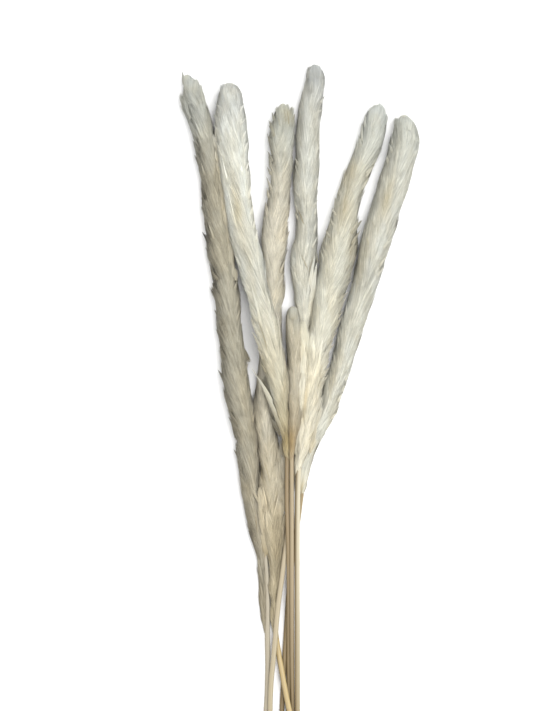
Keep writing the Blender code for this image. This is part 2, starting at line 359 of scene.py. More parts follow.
@dataclass(frozen=True)
class TuftStyle:
    """What tufts of one kind share.

    Attributes:
        width: at the widest, in millimetres.
        tone: lighter above 0, darker below.
        warmth: how much they take of the warm tint.
        lift: how far their tips stand off the plume, in millimetres.
        fill: how high they stay beside the plume, as a share of its girth.
        form: how their fibres spread.
        shift: how much further up the plume their colour comes from, as a share of its length.
        density: fibres in each millimetre of their width.
    """

    width: float
    tone: float = 0.0
    warmth: float = 0.1
    lift: float = 0.8
    fill: float = 0.3
    form: TuftForm = TuftForm.BARB
    shift: float = 0.0
    density: float = 16.0


@dataclass(frozen=True)
class Tuft:
    """One lock that stands out from the rest, drawn between two places in the photograph.

    Attributes:
        root: where it grows from, in pixels from the left and from the top.
        tip: where it ends.
        style: how it looks.
    """

    root: tuple[float, float]
    tip: tuple[float, float]
    style: TuftStyle

    @classmethod
    def row(cls, style: TuftStyle, *places: tuple[float, float, float, float]) -> tuple["Tuft", ...]:
        """Several tufts of one kind.

        Args:
            style: how they look.
            places: for each its root and its tip, in pixels from the left and from the top.

        Returns:
            The tufts.
        """
        return tuple(cls(place[:2], place[2:], style) for place in places)


@dataclass(frozen=True)
class Fringe:
    """A row of small tufts that roughens one edge of a plume.

    Attributes:
        side: which edge.
        stretch: where the row starts and ends, in pixels from the photograph's top.
        count: how many tufts.
        reach: how far their tips stand out of the outline, in millimetres.
        length: of a tuft, in millimetres.
        style: how they look.
    """

    side: Side
    stretch: tuple[float, float]
    count: int
    reach: float
    length: float
    style: TuftStyle


@dataclass(frozen=True)
class Dent:
    """A hollow in a plume's outline.

    Attributes:
        place: its middle, in the photograph's pixels.
        depth: in millimetres.
        half_length: along the plume, in millimetres.
        half_turn: how far it reaches round the plume, in degrees.
    """

    place: tuple[float, float]
    depth: float
    half_length: float
    half_turn: float = 50.0

    @classmethod
    def rows(cls, *rows: tuple[float, ...]) -> tuple["Dent", ...]:
        """Several hollows, each given by its place and then its other numbers in their order."""
        return tuple(cls(row[:2], *row[2:]) for row in rows)


@dataclass(frozen=True)
class Thatch:
    """Locks laid over a band, to close a hollow beside a plume.

    Attributes:
        band: the lower and the upper end of the line that their roots follow, in the photograph's pixels.
        half_width: of the band, in pixels.
        count: how many locks.
        fills: how high they lie at both ends, as shares of the plume's girth.
        length: of a lock, in pixels.
        style: how they look.
    """

    band: tuple[float, float, float, float]
    half_width: float
    count: int
    fills: tuple[float, float]
    length: float
    style: TuftStyle


@dataclass(frozen=True)
class Patch:
    """A part of a plume that is lighter, darker or warmer than the rest: its own tone, painted shade and
    painted light.

    Attributes:
        place: its middle in the photograph, in pixels from the left and from the top.
        half_length: along the plume, in millimetres.
        half_width: across the plume, in millimetres.
        tone: lighter above 0, darker below; darker patches on flanks turned from the light and under higher
            plumes are painted shade and painted shadow, some lighter ones painted light.
        warmth: warmer above 0, cooler below.
    """

    place: tuple[float, float]
    half_length: float
    half_width: float
    tone: float
    warmth: float = 0.0

    @classmethod
    def rows(cls, *rows: tuple[float, ...]) -> tuple["Patch", ...]:
        """Several patches, each given by its place and then its other numbers in their order."""
        return tuple(cls(row[:2], *row[2:]) for row in rows)


@dataclass
class Streaks:
    """A soft random field over a plume, drawn out along its fibres.

    Attributes:
        values: random values, half by row by column.
        phases: how far each column is shifted along, half by column.
        cell: length of a streak.
        lean: how fast the streaks turn round the plume, in radians a metre.
        parting: where they part to the left and to the right, in radians from the top.
    """

    values: np.ndarray
    phases: np.ndarray
    cell: float
    lean: float
    parting: float

    ROWS = 64
    PARTING_WIDTH = 0.3

    @classmethod
    def random(
        cls, dice: np.random.Generator, around: int, cell: float, lean: float, parting: float
    ) -> "Streaks":
        """Draw a new field.

        Args:
            dice: random numbers.
            around: how many streaks lie side by side round the plume.
            cell: length of a streak.
            lean: how fast the streaks turn.
            parting: where they part.

        Returns:
            The field.
        """
        values = dice.normal(0.0, 1.0, (2, cls.ROWS, around))
        return cls(values, dice.uniform(0.0, cls.ROWS, (2, around)), cell, lean, parting)

    def read(self, arc: np.ndarray, angle: np.ndarray) -> np.ndarray:
        """Values of about -1 to 1 at any places on the plume.

        Args:
            arc: places along it.
            angle: places round it.

        Returns:
            The field's values there.
        """
        around = self.values.shape[2]
        right = 0.5 + 0.5 * np.tanh(np.sin(angle - self.parting) / self.PARTING_WIDTH)
        total = np.zeros_like(arc + angle)
        for half, share, turn in ((0, 1.0 - right, self.lean), (1, right, -self.lean)):
            column = (angle + turn * arc) / FULL_TURN * around
            left = np.floor(column)
            across = ease(column - left)
            for step, weight in ((0, 1.0 - across), (1, across)):
                index = np.mod(left + step, around).astype(int)
                row = arc / self.cell + self.phases[half][index]
                low = np.floor(row)
                along = ease(row - low)
                first = self.values[half][np.mod(low, self.ROWS).astype(int), index]
                second = self.values[half][np.mod(low + 1, self.ROWS).astype(int), index]
                total += share * weight * (first * (1.0 - along) + second * along)
        return total


@dataclass
class Lie:
    """How the down of one plume lies: the way it leans and the soft strands it gathers into.

    Attributes:
        lean: how fast fibres turn away from the parting, in radians a metre.
        parting: where they part, in radians from the top.
        broad: the strands.
        fine: finer strands on them.
        shade: streaks of lighter and darker down.
        bumps: the tussocks that swell out of the outline.
        relief: how high the strands stand.
        swell: how far the tussocks swell out.
        starts: where the tussocks of each column start, half by column, as shares of their length.
        hollows: place along, angle, depth, reach along and reach round of every hollow in the outline.
    """

    lean: float
    parting: float
    broad: Streaks
    fine: Streaks
    shade: Streaks
    bumps: Streaks
    relief: float
    swell: float
    starts: np.ndarray
    hollows: tuple[tuple[float, float, float, float, float], ...] = ()

    STRAND_WIDTH = 0.0030
    STRAND_LENGTH = 0.024
    FINE_SHARE = 0.5
    FINE_LENGTH, SHADE_LENGTH = 0.6, 1.2
    BUMP_WIDTH = 0.0085
    BUMP_LENGTH = 0.017
    TUSSOCK_WIDTH = 0.0095
    TUSSOCK_LENGTH = 0.030
    TUSSOCK_BOW, TUSSOCK_TAPER = 0.3, 0.6
    LEAST_ROUND, LEAST_BUMPS, LEAST_TUSSOCKS = 8, 5, 4
    PARTING_SOFTNESS = 0.1
    TILT_AHEAD, TILT_ASIDE, TILT_RADIUS = 0.0015, 0.0006, 0.003

    @classmethod
    def over(
        cls,
        shape: Envelope,
        dice: np.random.Generator,
        lean: float,
        parting: float,
        relief: float,
        swell: float,
    ) -> "Lie":
        """Lay the down over a plume.

        Args:
            shape: the plume's outline.
            dice: this plume's random numbers.
            lean: angle between the fibres and the axis, in degrees.
            parting: where they part, in degrees from the top to the right.
            relief: how high the strands stand.
            swell: how far the tussocks swell out.

        Returns:
            The lie.
        """
        middle_girth = float(np.mean(shape.body))
        turn = math.tan(math.radians(lean)) / middle_girth
        edge = math.radians(parting)
        around = max(cls.LEAST_ROUND, round(FULL_TURN * middle_girth / cls.STRAND_WIDTH))
        broad = Streaks.random(dice, around, cls.STRAND_LENGTH, turn, edge)
        fine = Streaks.random(dice, 2 * around + 1, cls.FINE_LENGTH * cls.STRAND_LENGTH, turn, edge)
        shade = Streaks.random(dice, 2 * around, cls.SHADE_LENGTH * cls.STRAND_LENGTH, turn, edge)
        lumps = max(cls.LEAST_BUMPS, round(FULL_TURN * middle_girth / cls.BUMP_WIDTH))
        bumps = Streaks.random(dice, lumps, cls.BUMP_LENGTH, turn, edge)
        tussocks = max(cls.LEAST_TUSSOCKS, round(FULL_TURN * middle_girth / cls.TUSSOCK_WIDTH))
        starts = dice.random((2, tussocks))
        return cls(turn, edge, broad, fine, shade, bumps, relief, swell, starts)

    def turning(self, angle: np.ndarray) -> np.ndarray:
        """How fast a fibre turns at a place round the plume, in radians a metre."""
        away = np.sin(angle - self.parting)
        return self.lean * away / np.sqrt(away**2 + self.PARTING_SOFTNESS)

    def standing(self, arc: np.ndarray, angle: np.ndarray) -> np.ndarray:
        """How far places stand out, from 0 just past the tip of one tussock to 1 at the next tip.

        Args:
            arc: places along the plume.
            angle: places round it.

        Returns:
            The shares.
        """
        right = np.sin(angle - self.parting) > 0.0
        column = (angle - np.where(right, self.lean, -self.lean) * arc) / FULL_TURN * self.starts.shape[1]
        index = np.floor(column)
        bow = (2.0 * (column - index) - 1.0) ** 2
        start = self.starts[right.astype(int), np.mod(index, self.starts.shape[1]).astype(int)]
        along = np.mod(arc / self.TUSSOCK_LENGTH + start + self.TUSSOCK_BOW * bow, 1.0)
        return along**2 * (1.0 - self.TUSSOCK_TAPER * bow)

    def height(self, arc: np.ndarray, angle: np.ndarray) -> np.ndarray:
        """How high the strands and the tussocks under them stand, less the hollows.

        Args:
            arc: places along the plume.
            angle: places round it.

        Returns:
            The heights there.
        """
        strands = self.broad.read(arc, angle) + self.FINE_SHARE * self.fine.read(arc, angle)
        height = self.relief * strands + self.swell * self.bumps.read(arc, angle)
        for place, heading, depth, reach, reach_round in self.hollows:
            turn = np.arctan2(np.sin(angle - heading), np.cos(angle - heading))
            height = height - depth * np.exp(-(((arc - place) / reach) ** 2) - (turn / reach_round) ** 2)
        return height

    def tilt(self, arc: np.ndarray, angle: np.ndarray, radius: np.ndarray) -> tuple[np.ndarray, np.ndarray]:
        """How steeply the strands rise along and round the plume.

        Args:
            arc: places along it.
            angle: places round it.
            radius: of the plume there.

        Returns:
            The two slopes.
        """
        radius = np.maximum(radius, self.TILT_RADIUS)
        ahead, aside = self.TILT_AHEAD, self.TILT_ASIDE / radius
        rise_along = self.height(arc + ahead, angle) - self.height(arc - ahead, angle)
        rise_round = self.height(arc, angle + aside) - self.height(arc, angle - aside)
        return rise_along / (2.0 * ahead), rise_round / (2.0 * aside * radius)


@dataclass
class Locks:
    """Where each lock of a plume starts, ends and leans. Each array has one entry a lock.

    Attributes:
        root_arc: place of the root along the axis.
        tip_arc: place of the tip.
        root_angle: place of the root round the axis, in radians from the top to the right.
        tip_angle: place of the tip.
        width: at its widest.
        tone: lighter above 0, darker below.
    """

    root_arc: np.ndarray
    tip_arc: np.ndarray
    root_angle: np.ndarray
    tip_angle: np.ndarray
    width: np.ndarray
    tone: np.ndarray


@dataclass
class Batch:
    """Faces that join a coat together.

    Attributes:
        corners: their points.
        normals: the soft normal of each point.
        marks: named values of each point.
        loops: which points go round each face, one face after the other.
        sizes: how many points each face has.
        places: where each of those corners lies in the batch's band of the bake map.
        weight: how tall that band is, against the other batches.
    """

    corners: np.ndarray
    normals: np.ndarray
    marks: dict[str, np.ndarray]
    loops: np.ndarray
    sizes: np.ndarray
    places: np.ndarray
    weight: float


@dataclass
class Coat:
    """The faces of one piece, kept as arrays until they become one mesh.

    Attributes:
        batches: its faces in the order in which they were added.
    """

    batches: list[Batch] = field(default_factory=list)

    CELL_MARGIN = 0.12
    CELL_SLIMNESS = 5.0
    RIBBONS_PER_WEIGHT = 10000.0
    FELT_WEIGHT, LEAST_WEIGHT = 0.1, 0.2
    # The bake map of a sleeve: the band for its sides, and the two round lids below and above it
    SIDES_LOW, SIDES_TALL = 0.02, 0.96
    LID_MIDDLE, LID_RADII, SECOND_LID = (0.25, 0.008), (0.2, 0.007), (0.5, 0.985)

    @staticmethod
    def to_corners(values: np.ndarray) -> np.ndarray:
        """Repeat values for the two corners of each station and the one corner of the tip.

        Args:
            values: ribbon by station, with any further axes.

        Returns:
            Ribbon by corner.
        """
        return np.concatenate([np.repeat(values[:, :-1], 2, axis=1), values[:, -1:]], axis=1)

    def add_ribbons(
        self,
        points: np.ndarray,
        widths: np.ndarray,
        facing: np.ndarray,
        normals: np.ndarray,
        marks: dict[str, np.ndarray],
    ) -> None:
        """Add fibres as tapered ribbons.

        Args:
            points: ribbon by station by coordinate.
            widths: ribbon by station; the last counts for nothing, as each ribbon ends in a point.
            facing: which way each station's flat side faces.
            normals: the soft normal of the down there.
            marks: named values, ribbon by station.
        """
        rows = points.shape[1] - 1
        per, count = 2 * rows + 1, len(points)
        run = unit(np.gradient(points, axis=1))
        across = self.to_corners(unit(np.cross(run, facing)) * (widths / 2.0)[..., None])
        across[:, 0::2] *= -1.0
        across[:, -1] = 0.0
        corners = self.to_corners(points) + across
        pattern = []
        for k in range(0, 2 * rows - 2, 2):
            pattern += [k, k + 1, k + 3, k + 2]
        pattern += [2 * rows - 2, 2 * rows - 1, 2 * rows]
        columns = max(1, math.ceil(math.sqrt(count * self.CELL_SLIMNESS)))
        lines = math.ceil(count / columns)
        local = np.empty((per, 2))
        local[0:-1:2, 0], local[1::2, 0] = self.CELL_MARGIN, 1.0 - self.CELL_MARGIN
        local[:-1, 1] = np.repeat(np.arange(rows) / rows, 2)
        local[-1] = (0.5, 1.0)
        local[:, 1] = self.CELL_MARGIN / 2.0 + local[:, 1] * (1.0 - self.CELL_MARGIN)
        cell = np.arange(count)
        places = np.stack([cell % columns, cell // columns], axis=1)[:, None, :] + local[None, pattern]
        self.batches.append(Batch(
            corners=corners.reshape(-1, 3),
            normals=self.to_corners(normals).reshape(-1, 3),
            marks={key: self.to_corners(values).ravel() for key, values in marks.items()},
            loops=(np.array(pattern)[None] + per * np.arange(count)[:, None]).ravel(),
            sizes=np.tile([4] * (rows - 1) + [3], count),
            places=(places / (columns, lines)).reshape(-1, 2),
            weight=count / self.RIBBONS_PER_WEIGHT,
        ))

    def add_felt(self, points: np.ndarray, normals: np.ndarray, marks: dict[str, np.ndarray]) -> None:
        """Add a closed sleeve of rings.

        Args:
            points: ring by side by coordinate.
            normals: the same for its soft normals.
            marks: named values, ring by side.
        """
        rings, sides = points.shape[:2]
        ring, side = np.meshgrid(np.arange(rings - 1), np.arange(sides), indexing="ij")
        after = (side + 1) % sides
        low, high = ring * sides, (ring + 1) * sides
        quads = np.stack([low + side, low + after, high + after, high + side], axis=-1)
        corner_side = np.stack([side, side + 1, side + 1, side], axis=-1) / sides
        corner_ring = np.stack([ring, ring, ring + 1, ring + 1], axis=-1) / rings
        corner_ring = corner_ring * self.SIDES_TALL + self.SIDES_LOW
        places = np.stack([corner_side, corner_ring], axis=-1).reshape(-1, 2)
        turn = np.arange(sides) * FULL_TURN / sides
        lid = self.LID_MIDDLE + np.stack([np.sin(turn), np.cos(turn)], axis=-1) * self.LID_RADII
        rim = np.arange(sides)
        self.batches.append(Batch(
            corners=points.reshape(-1, 3),
            normals=normals.reshape(-1, 3),
            marks={key: values.ravel() for key, values in marks.items()},
            loops=np.concatenate([quads.ravel(), rim[::-1], rim + (rings - 1) * sides]),
            sizes=np.concatenate([np.full(quads.size // 4, 4), [sides, sides]]),
            places=np.concatenate([places, lid, lid + self.SECOND_LID]),
            weight=self.FELT_WEIGHT * sum(batch.weight for batch in self.batches) + self.LEAST_WEIGHT,
        ))

    def mesh(self, name: str) -> bpy.types.Mesh:
        """One mesh of the whole coat, with its marks as point attributes and a bake map.

        Args:
            name: the mesh's name.

        Returns:
            The new mesh.
        """
        corners = np.concatenate([batch.corners for batch in self.batches])
        np.maximum(corners[:, 2], TABLE_GAP, out=corners[:, 2])
        sizes = np.concatenate([batch.sizes for batch in self.batches])
        loops, places = [], []
        first, level, whole = 0, 0.0, sum(batch.weight for batch in self.batches)
        for batch in self.batches:
            loops.append(batch.loops + first)
            places.append(batch.places * (1.0, batch.weight / whole) + (0.0, level))
            first += len(batch.corners)
            level += batch.weight / whole
        loops = np.concatenate(loops)
        mesh = bpy.data.meshes.new(name)
        mesh.vertices.add(len(corners))
        mesh.vertices.foreach_set("co", corners.ravel())
        mesh.loops.add(len(loops))
        mesh.loops.foreach_set("vertex_index", loops)
        mesh.polygons.add(len(sizes))
        mesh.polygons.foreach_set("loop_start", np.concatenate([[0], np.cumsum(sizes)[:-1]]))
        mesh.update(calc_edges=True)
        for key in self.batches[0].marks:
            values = np.concatenate([batch.marks[key] for batch in self.batches])
            layer = mesh.attributes.new(key, "FLOAT", "POINT")
            layer.data.foreach_set("value", values)
        layer = mesh.uv_layers.new(name=UV_MAP)
        layer.data.foreach_set("uv", np.concatenate(places).ravel().astype(np.float32))
        mesh.shade_smooth()
        normals = np.concatenate([batch.normals for batch in self.batches])
        mesh.normals_split_custom_set_from_vertices(unit(normals).tolist())
        return mesh


class Shading:
    """Shader node groups that more than one material uses, each built once, and the nodes in them."""

    LOWER_BLEND, CROWN_BLEND = (0.0, 0.55), (0.78, 0.98)
    WARM_TINT = (0.93, 0.82, 0.62)
    NOISE_DETAIL, NOISE_ROUGHNESS = 3.0, 0.6
    STREAK_SCALES, STREAK_DETAIL, STREAK_BAND = (0.05, 0.5), 4.0, (0.42, 0.66)

    @staticmethod
    def new_group(
        name: str, inputs: dict[str, float | tuple], outputs: dict[str, str]
    ) -> bpy.types.NodeTree:
        """An empty shader group with named sockets.

        Args:
            name: the group's name.
            inputs: socket name to default; a tuple of four makes a colour, of three a vector.
            outputs: socket name to socket type.

        Returns:
            The group, with its input and output nodes in place.
        """
        group = bpy.data.node_groups.new(name, "ShaderNodeTree")
        for label, default in inputs.items():
            kind = "NodeSocketFloat"
            if isinstance(default, tuple):
                kind = "NodeSocketColor" if len(default) == 4 else "NodeSocketVector"
            socket = group.interface.new_socket(name=label, in_out="INPUT", socket_type=kind)
            socket.default_value = default
        for label, kind in outputs.items():
            group.interface.new_socket(name=label, in_out="OUTPUT", socket_type=kind)
        group.nodes.new("NodeGroupInput").name = "in"
        group.nodes.new("NodeGroupOutput").name = "out"
        return group

    @staticmethod
    def math(tree: bpy.types.NodeTree, operation: str, *values: object) -> bpy.types.NodeSocket:
        """A math node fed by sockets or numbers.

        Args:
            tree: where the node goes.
            operation: the math node's operation.
            values: a socket or a number for each input.

        Returns:
            The node's output.
        """
        node = tree.nodes.new("ShaderNodeMath")
        node.operation = operation
        for socket, value in zip(node.inputs, values):
            if isinstance(value, bpy.types.NodeSocket):
                tree.links.new(value, socket)
            else:
                socket.default_value = value
        return node.outputs[0]

    @staticmethod
    def mix(
        tree: bpy.types.NodeTree, blend: str, factor: object, first: object, second: object
    ) -> bpy.types.NodeSocket:
        """A colour mix node fed by sockets or values.

        Args:
            tree: where the node goes.
            blend: the blend type.
            factor: a socket or a number.
            first: a colour socket or value.
            second: a colour socket or value.

        Returns:
            The mixed colour.
        """
        node = tree.nodes.new("ShaderNodeMix")
        node.data_type = "RGBA"
        node.blend_type = blend
        for index, value in ((0, factor), (6, first), (7, second)):
            if isinstance(value, bpy.types.NodeSocket):
                tree.links.new(value, node.inputs[index])
            elif index:
                node.inputs[index].default_value = (*value[:3], 1.0)
            else:
                node.inputs[index].default_value = value
        return node.outputs[2]

    @staticmethod
    def mark(tree: bpy.types.NodeTree, name: str) -> bpy.types.NodeSocket:
        """One of a mesh's marks, read as a number.

        Args:
            tree: where the node goes.
            name: the mark's name.

        Returns:
            The mark.
        """
        reader = tree.nodes.new("ShaderNodeAttribute")
        reader.attribute_name = name
        return reader.outputs["Fac"]

    @staticmethod
    def step(tree: bpy.types.NodeTree, value: object, low: float, high: float) -> bpy.types.NodeSocket:
        """A soft step from 0 at low to 1 at high.

        Args:
            tree: where the node goes.
            value: the socket to read.
            low: where the step starts.
            high: where it ends.

        Returns:
            The step.
        """
        node = tree.nodes.new("ShaderNodeMapRange")
        node.interpolation_type = "SMOOTHSTEP"
        node.inputs["From Min"].default_value = low
        node.inputs["From Max"].default_value = high
        tree.links.new(value, node.inputs["Value"])
        return node.outputs["Result"]

    @classmethod
    def mottle(cls) -> bpy.types.NodeTree:
        """Soft patches stretched along the bunch, as a mask from 0 to 1.

        Returns:
            The group.
        """
        found = bpy.data.node_groups.get("mottle")
        if found:
            return found
        group = cls.new_group(
            "mottle",
            {"Scale": 60.0, "Stretch": (1.0, 0.3, 1.0), "Low": 0.4, "High": 0.6},
            {"Mask": "NodeSocketFloat"},
        )
        nodes, links = group.nodes, group.links
        where = nodes.new("ShaderNodeTexCoord")
        stretch = nodes.new("ShaderNodeVectorMath")
        stretch.operation = "MULTIPLY"
        links.new(where.outputs["Object"], stretch.inputs[0])
        links.new(nodes["in"].outputs["Stretch"], stretch.inputs[1])
        noise = nodes.new("ShaderNodeTexNoise")
        noise.inputs["Detail"].default_value = cls.NOISE_DETAIL
        noise.inputs["Roughness"].default_value = cls.NOISE_ROUGHNESS
        links.new(stretch.outputs[0], noise.inputs["Vector"])
        links.new(nodes["in"].outputs["Scale"], noise.inputs["Scale"])
        band = nodes.new("ShaderNodeMapRange")
        band.interpolation_type = "SMOOTHSTEP"
        links.new(noise.outputs["Fac"], band.inputs["Value"])
        links.new(nodes["in"].outputs["Low"], band.inputs["From Min"])
        links.new(nodes["in"].outputs["High"], band.inputs["From Max"])
        links.new(band.outputs["Result"], nodes["out"].inputs["Mask"])
        return group

    @classmethod
    def down_colour(cls) -> bpy.types.NodeTree:
        """The colour of down from its marks: how far up and how far out it lies, its tone and its warmth,
        with painted shade where it lies deep.

        Returns:
            The group.
        """
        found = bpy.data.node_groups.get("down_colour")
        if found:
            return found
        group = cls.new_group(
            "down_colour",
            {
                "Crown": (0.7, 0.7, 0.7, 1.0),
                "Middle": (0.7, 0.7, 0.6, 1.0),
                "Foot": (0.7, 0.6, 0.5, 1.0),
                "Depth": (0.8, 0.7, 0.5, 1.0),
                "Tone Strength": 0.15,
                "Mottle Strength": 0.3,
            },
            {"Colour": "NodeSocketColor"},
        )
        nodes, links = group.nodes, group.links
        given = nodes["in"].outputs
        along = cls.mark(group, "along")
        from_foot, to_crown = (cls.step(group, along, *blend) for blend in (cls.LOWER_BLEND, cls.CROWN_BLEND))
        lower = cls.mix(group, "MIX", from_foot, given["Foot"], given["Middle"])
        body = cls.mix(group, "MIX", to_crown, lower, given["Crown"])
        # Painted shade: down that lies further in, towards the fibres' roots and in the felt, is darkened and
        # warmed
        inward = cls.math(group, "SUBTRACT", 1.0, cls.mark(group, "outward"))
        deep = cls.mix(group, "MULTIPLY", inward, body, given["Depth"])
        patches = nodes.new("ShaderNodeGroup")
        patches.node_tree = cls.mottle()
        warm = cls.math(group, "MULTIPLY", patches.outputs["Mask"], given["Mottle Strength"])
        warm = cls.math(group, "ADD", warm, cls.mark(group, "warmth"))
        warmed = cls.mix(group, "MULTIPLY", warm, deep, cls.WARM_TINT)
        toned = cls.math(group, "MULTIPLY_ADD", cls.mark(group, "tone"), given["Tone Strength"], 1.0)
        level = nodes.new("ShaderNodeVectorMath")
        level.operation = "SCALE"
        links.new(warmed, level.inputs[0])
        links.new(toned, level.inputs["Scale"])
        links.new(level.outputs[0], nodes["out"].inputs["Colour"])
        return group

    @classmethod
    def streaks(cls) -> bpy.types.NodeTree:
        """Fine lengthwise streaks round a stem, as a mask and a height.

        Returns:
            The group.
        """
        found = bpy.data.node_groups.get("streaks")
        if found:
            return found
        group = cls.new_group(
            "streaks",
            {"Round Scale": 34.0, "Length Scale": 9.0},
            {"Mask": "NodeSocketFloat", "Height": "NodeSocketFloat"},
        )
        nodes, links = group.nodes, group.links
        place = nodes.new("ShaderNodeCombineXYZ")
        for socket, name in zip(place.inputs, ("round_x", "round_y")):
            scale = nodes["in"].outputs["Round Scale"]
            links.new(cls.math(group, "MULTIPLY", cls.mark(group, name), scale), socket)
        run = cls.math(group, "MULTIPLY", cls.mark(group, "run"), nodes["in"].outputs["Length Scale"])
        links.new(run, place.inputs["Z"])
        coarse, fine = nodes.new("ShaderNodeTexNoise"), nodes.new("ShaderNodeTexNoise")
        for noise, scale in zip((coarse, fine), cls.STREAK_SCALES):
            noise.inputs["Scale"].default_value = scale
            noise.inputs["Detail"].default_value = cls.STREAK_DETAIL
            links.new(place.outputs[0], noise.inputs["Vector"])
        band = cls.step(group, coarse.outputs["Fac"], *cls.STREAK_BAND)
        links.new(band, nodes["out"].inputs["Mask"])
        links.new(fine.outputs["Fac"], nodes["out"].inputs["Height"])
        return group


def new_material(name: str) -> tuple[bpy.types.Material, bpy.types.ShaderNodeBsdfPrincipled]:
    """A material with its Principled shader.

    Args:
        name: the material's name.

    Returns:
        The material and its shader.
    """
    material = bpy.data.materials.new(name)
    material.use_nodes = True
    return material, material.node_tree.nodes["Principled BSDF"]


@dataclass(frozen=True)
class DownFinish:
    """The colours and softness of one plume's down.

    Attributes:
        crown: linear colour at the plume's upper end.
        middle: linear colour half way down.
        foot: linear colour at its lower end.
        depth: what the colours are multiplied by at the fibres' roots and in the felt, painted shade deep in
            the down with some of the roots' warmer colour.
        tone_strength: how much streaks and patches differ in lightness.
        mottle_strength: how much warmer patches show.
        roughness: of the fibres.
        gloss: specular level of the fibres.
        sheen: soft light at grazing angles.
        sheen_roughness: how wide that light spreads.
    """

    crown: tuple[float, float, float]
    middle: tuple[float, float, float]
    foot: tuple[float, float, float]
    depth: tuple[float, float, float] = (0.86, 0.82, 0.72)
    tone_strength: float = 0.16
    mottle_strength: float = 0.22
    roughness: float = 0.75
    gloss: float = 0.2
    sheen: float = 0.1
    sheen_roughness: float = 0.5

    def material(self, name: str) -> bpy.types.Material:
        """The material of a plume's down.

        Args:
            name: the material's name.

        Returns:
            The material.
        """
        material, shader = new_material(name)
        tree = material.node_tree
        colour = tree.nodes.new("ShaderNodeGroup")
        colour.node_tree = Shading.down_colour()
        tints = {"Crown": self.crown, "Middle": self.middle, "Foot": self.foot, "Depth": self.depth}
        for socket, tint in tints.items():
            colour.inputs[socket].default_value = (*tint, 1.0)
        colour.inputs["Tone Strength"].default_value = self.tone_strength
        colour.inputs["Mottle Strength"].default_value = self.mottle_strength
        tree.links.new(colour.outputs["Colour"], shader.inputs["Base Color"])
        shader.inputs["Roughness"].default_value = self.roughness
        shader.inputs["Specular IOR Level"].default_value = self.gloss
        shader.inputs["Sheen Weight"].default_value = self.sheen
        shader.inputs["Sheen Roughness"].default_value = self.sheen_roughness
        return material


@dataclass(frozen=True)
class StrawFinish:
    """The colours and gloss of one stem.

    Attributes:
        straw: linear colour of the smooth skin in its upper part.
        foot: linear colour towards the cut end.
        shade: linear colour of the painted shade on the stem's shaded side, and of the lengthwise streaks.
        flank: where that painted shade lies, in degrees from the top to the right.
        flank_reach: how far round the stem it reaches, in radians.
        flank_strength: how strongly the painted shade shows.
        foot_strength: how strongly the painted shade shows at the cut end, where the stems lie over one
            another.
        streak_strength: how strongly the lengthwise streaks show.
        roughness: of the skin.
        gloss: specular level of the skin.
        blend: where the foot's colour turns into the straw's, as shares of the length from the cut end.
        foot_blend: where the flank's strength at the cut end is lost.
        ridge_strength: how strongly the fine streaks are felt.
        ridge_depth: how deep they are.
    """

    straw: tuple[float, float, float]
    foot: tuple[float, float, float]
    shade: tuple[float, float, float] = (0.17, 0.12, 0.06)
    flank: float = -75.0
    flank_reach: float = 0.75
    flank_strength: float = 0.6
    foot_strength: float = 0.7
    streak_strength: float = 0.35
    roughness: float = 0.42
    gloss: float = 0.4
    blend: tuple[float, float] = (0.15, 0.75)
    foot_blend: float = 0.16
    ridge_strength: float = 0.25
    ridge_depth: float = 0.0002

    def material(self, name: str) -> bpy.types.Material:
        """The material of a stem's smooth skin.

        Args:
            name: the material's name.

        Returns:
            The material.
        """
        material, shader = new_material(name)
        tree = material.node_tree
        streaks = tree.nodes.new("ShaderNodeGroup")
        streaks.node_tree = Shading.streaks()
        height = Shading.step(tree, Shading.mark(tree, "along"), *self.blend)
        skin = Shading.mix(tree, "MIX", height, self.foot, self.straw)
        streaked = Shading.math(tree, "MULTIPLY", streaks.outputs["Mask"], self.streak_strength)
        # Painted shade: a darker band along the stem's shaded side, stronger towards the cut end
        near_foot = Shading.step(tree, Shading.mark(tree, "along"), self.foot_blend, 0.0)
        gain = self.foot_strength - self.flank_strength
        strength = Shading.math(tree, "MULTIPLY_ADD", near_foot, gain, self.flank_strength)
        flanked = Shading.math(tree, "MULTIPLY", Shading.mark(tree, "flank"), strength)
        dark = Shading.math(tree, "MAXIMUM", streaked, flanked)
        colour = Shading.mix(tree, "MIX", dark, skin, self.shade)
        tree.links.new(colour, shader.inputs["Base Color"])
        bump = tree.nodes.new("ShaderNodeBump")
        bump.inputs["Strength"].default_value = self.ridge_strength
        bump.inputs["Distance"].default_value = self.ridge_depth
        tree.links.new(streaks.outputs["Height"], bump.inputs["Height"])
        tree.links.new(bump.outputs["Normal"], shader.inputs["Normal"])
        shader.inputs["Roughness"].default_value = self.roughness
        shader.inputs["Specular IOR Level"].default_value = self.gloss
        return material


def add_piece(
    name: str, mesh: bpy.types.Mesh, material: bpy.types.Material, node: str
) -> bpy.types.Object:
    """Put a piece on the bunch: it rides on it and stands in for its node, which is hidden.

    Args:
        name: the piece's name.
        mesh: its mesh.
        material: its material.
        node: the CAD node that it replaces.

    Returns:
        The piece.
    """
    piece = bpy.data.objects.new(name, mesh)
    bpy.context.scene.collection.objects.link(piece)
    mesh.materials.append(material)
    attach(piece, BODY)
    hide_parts(node)
    return piece


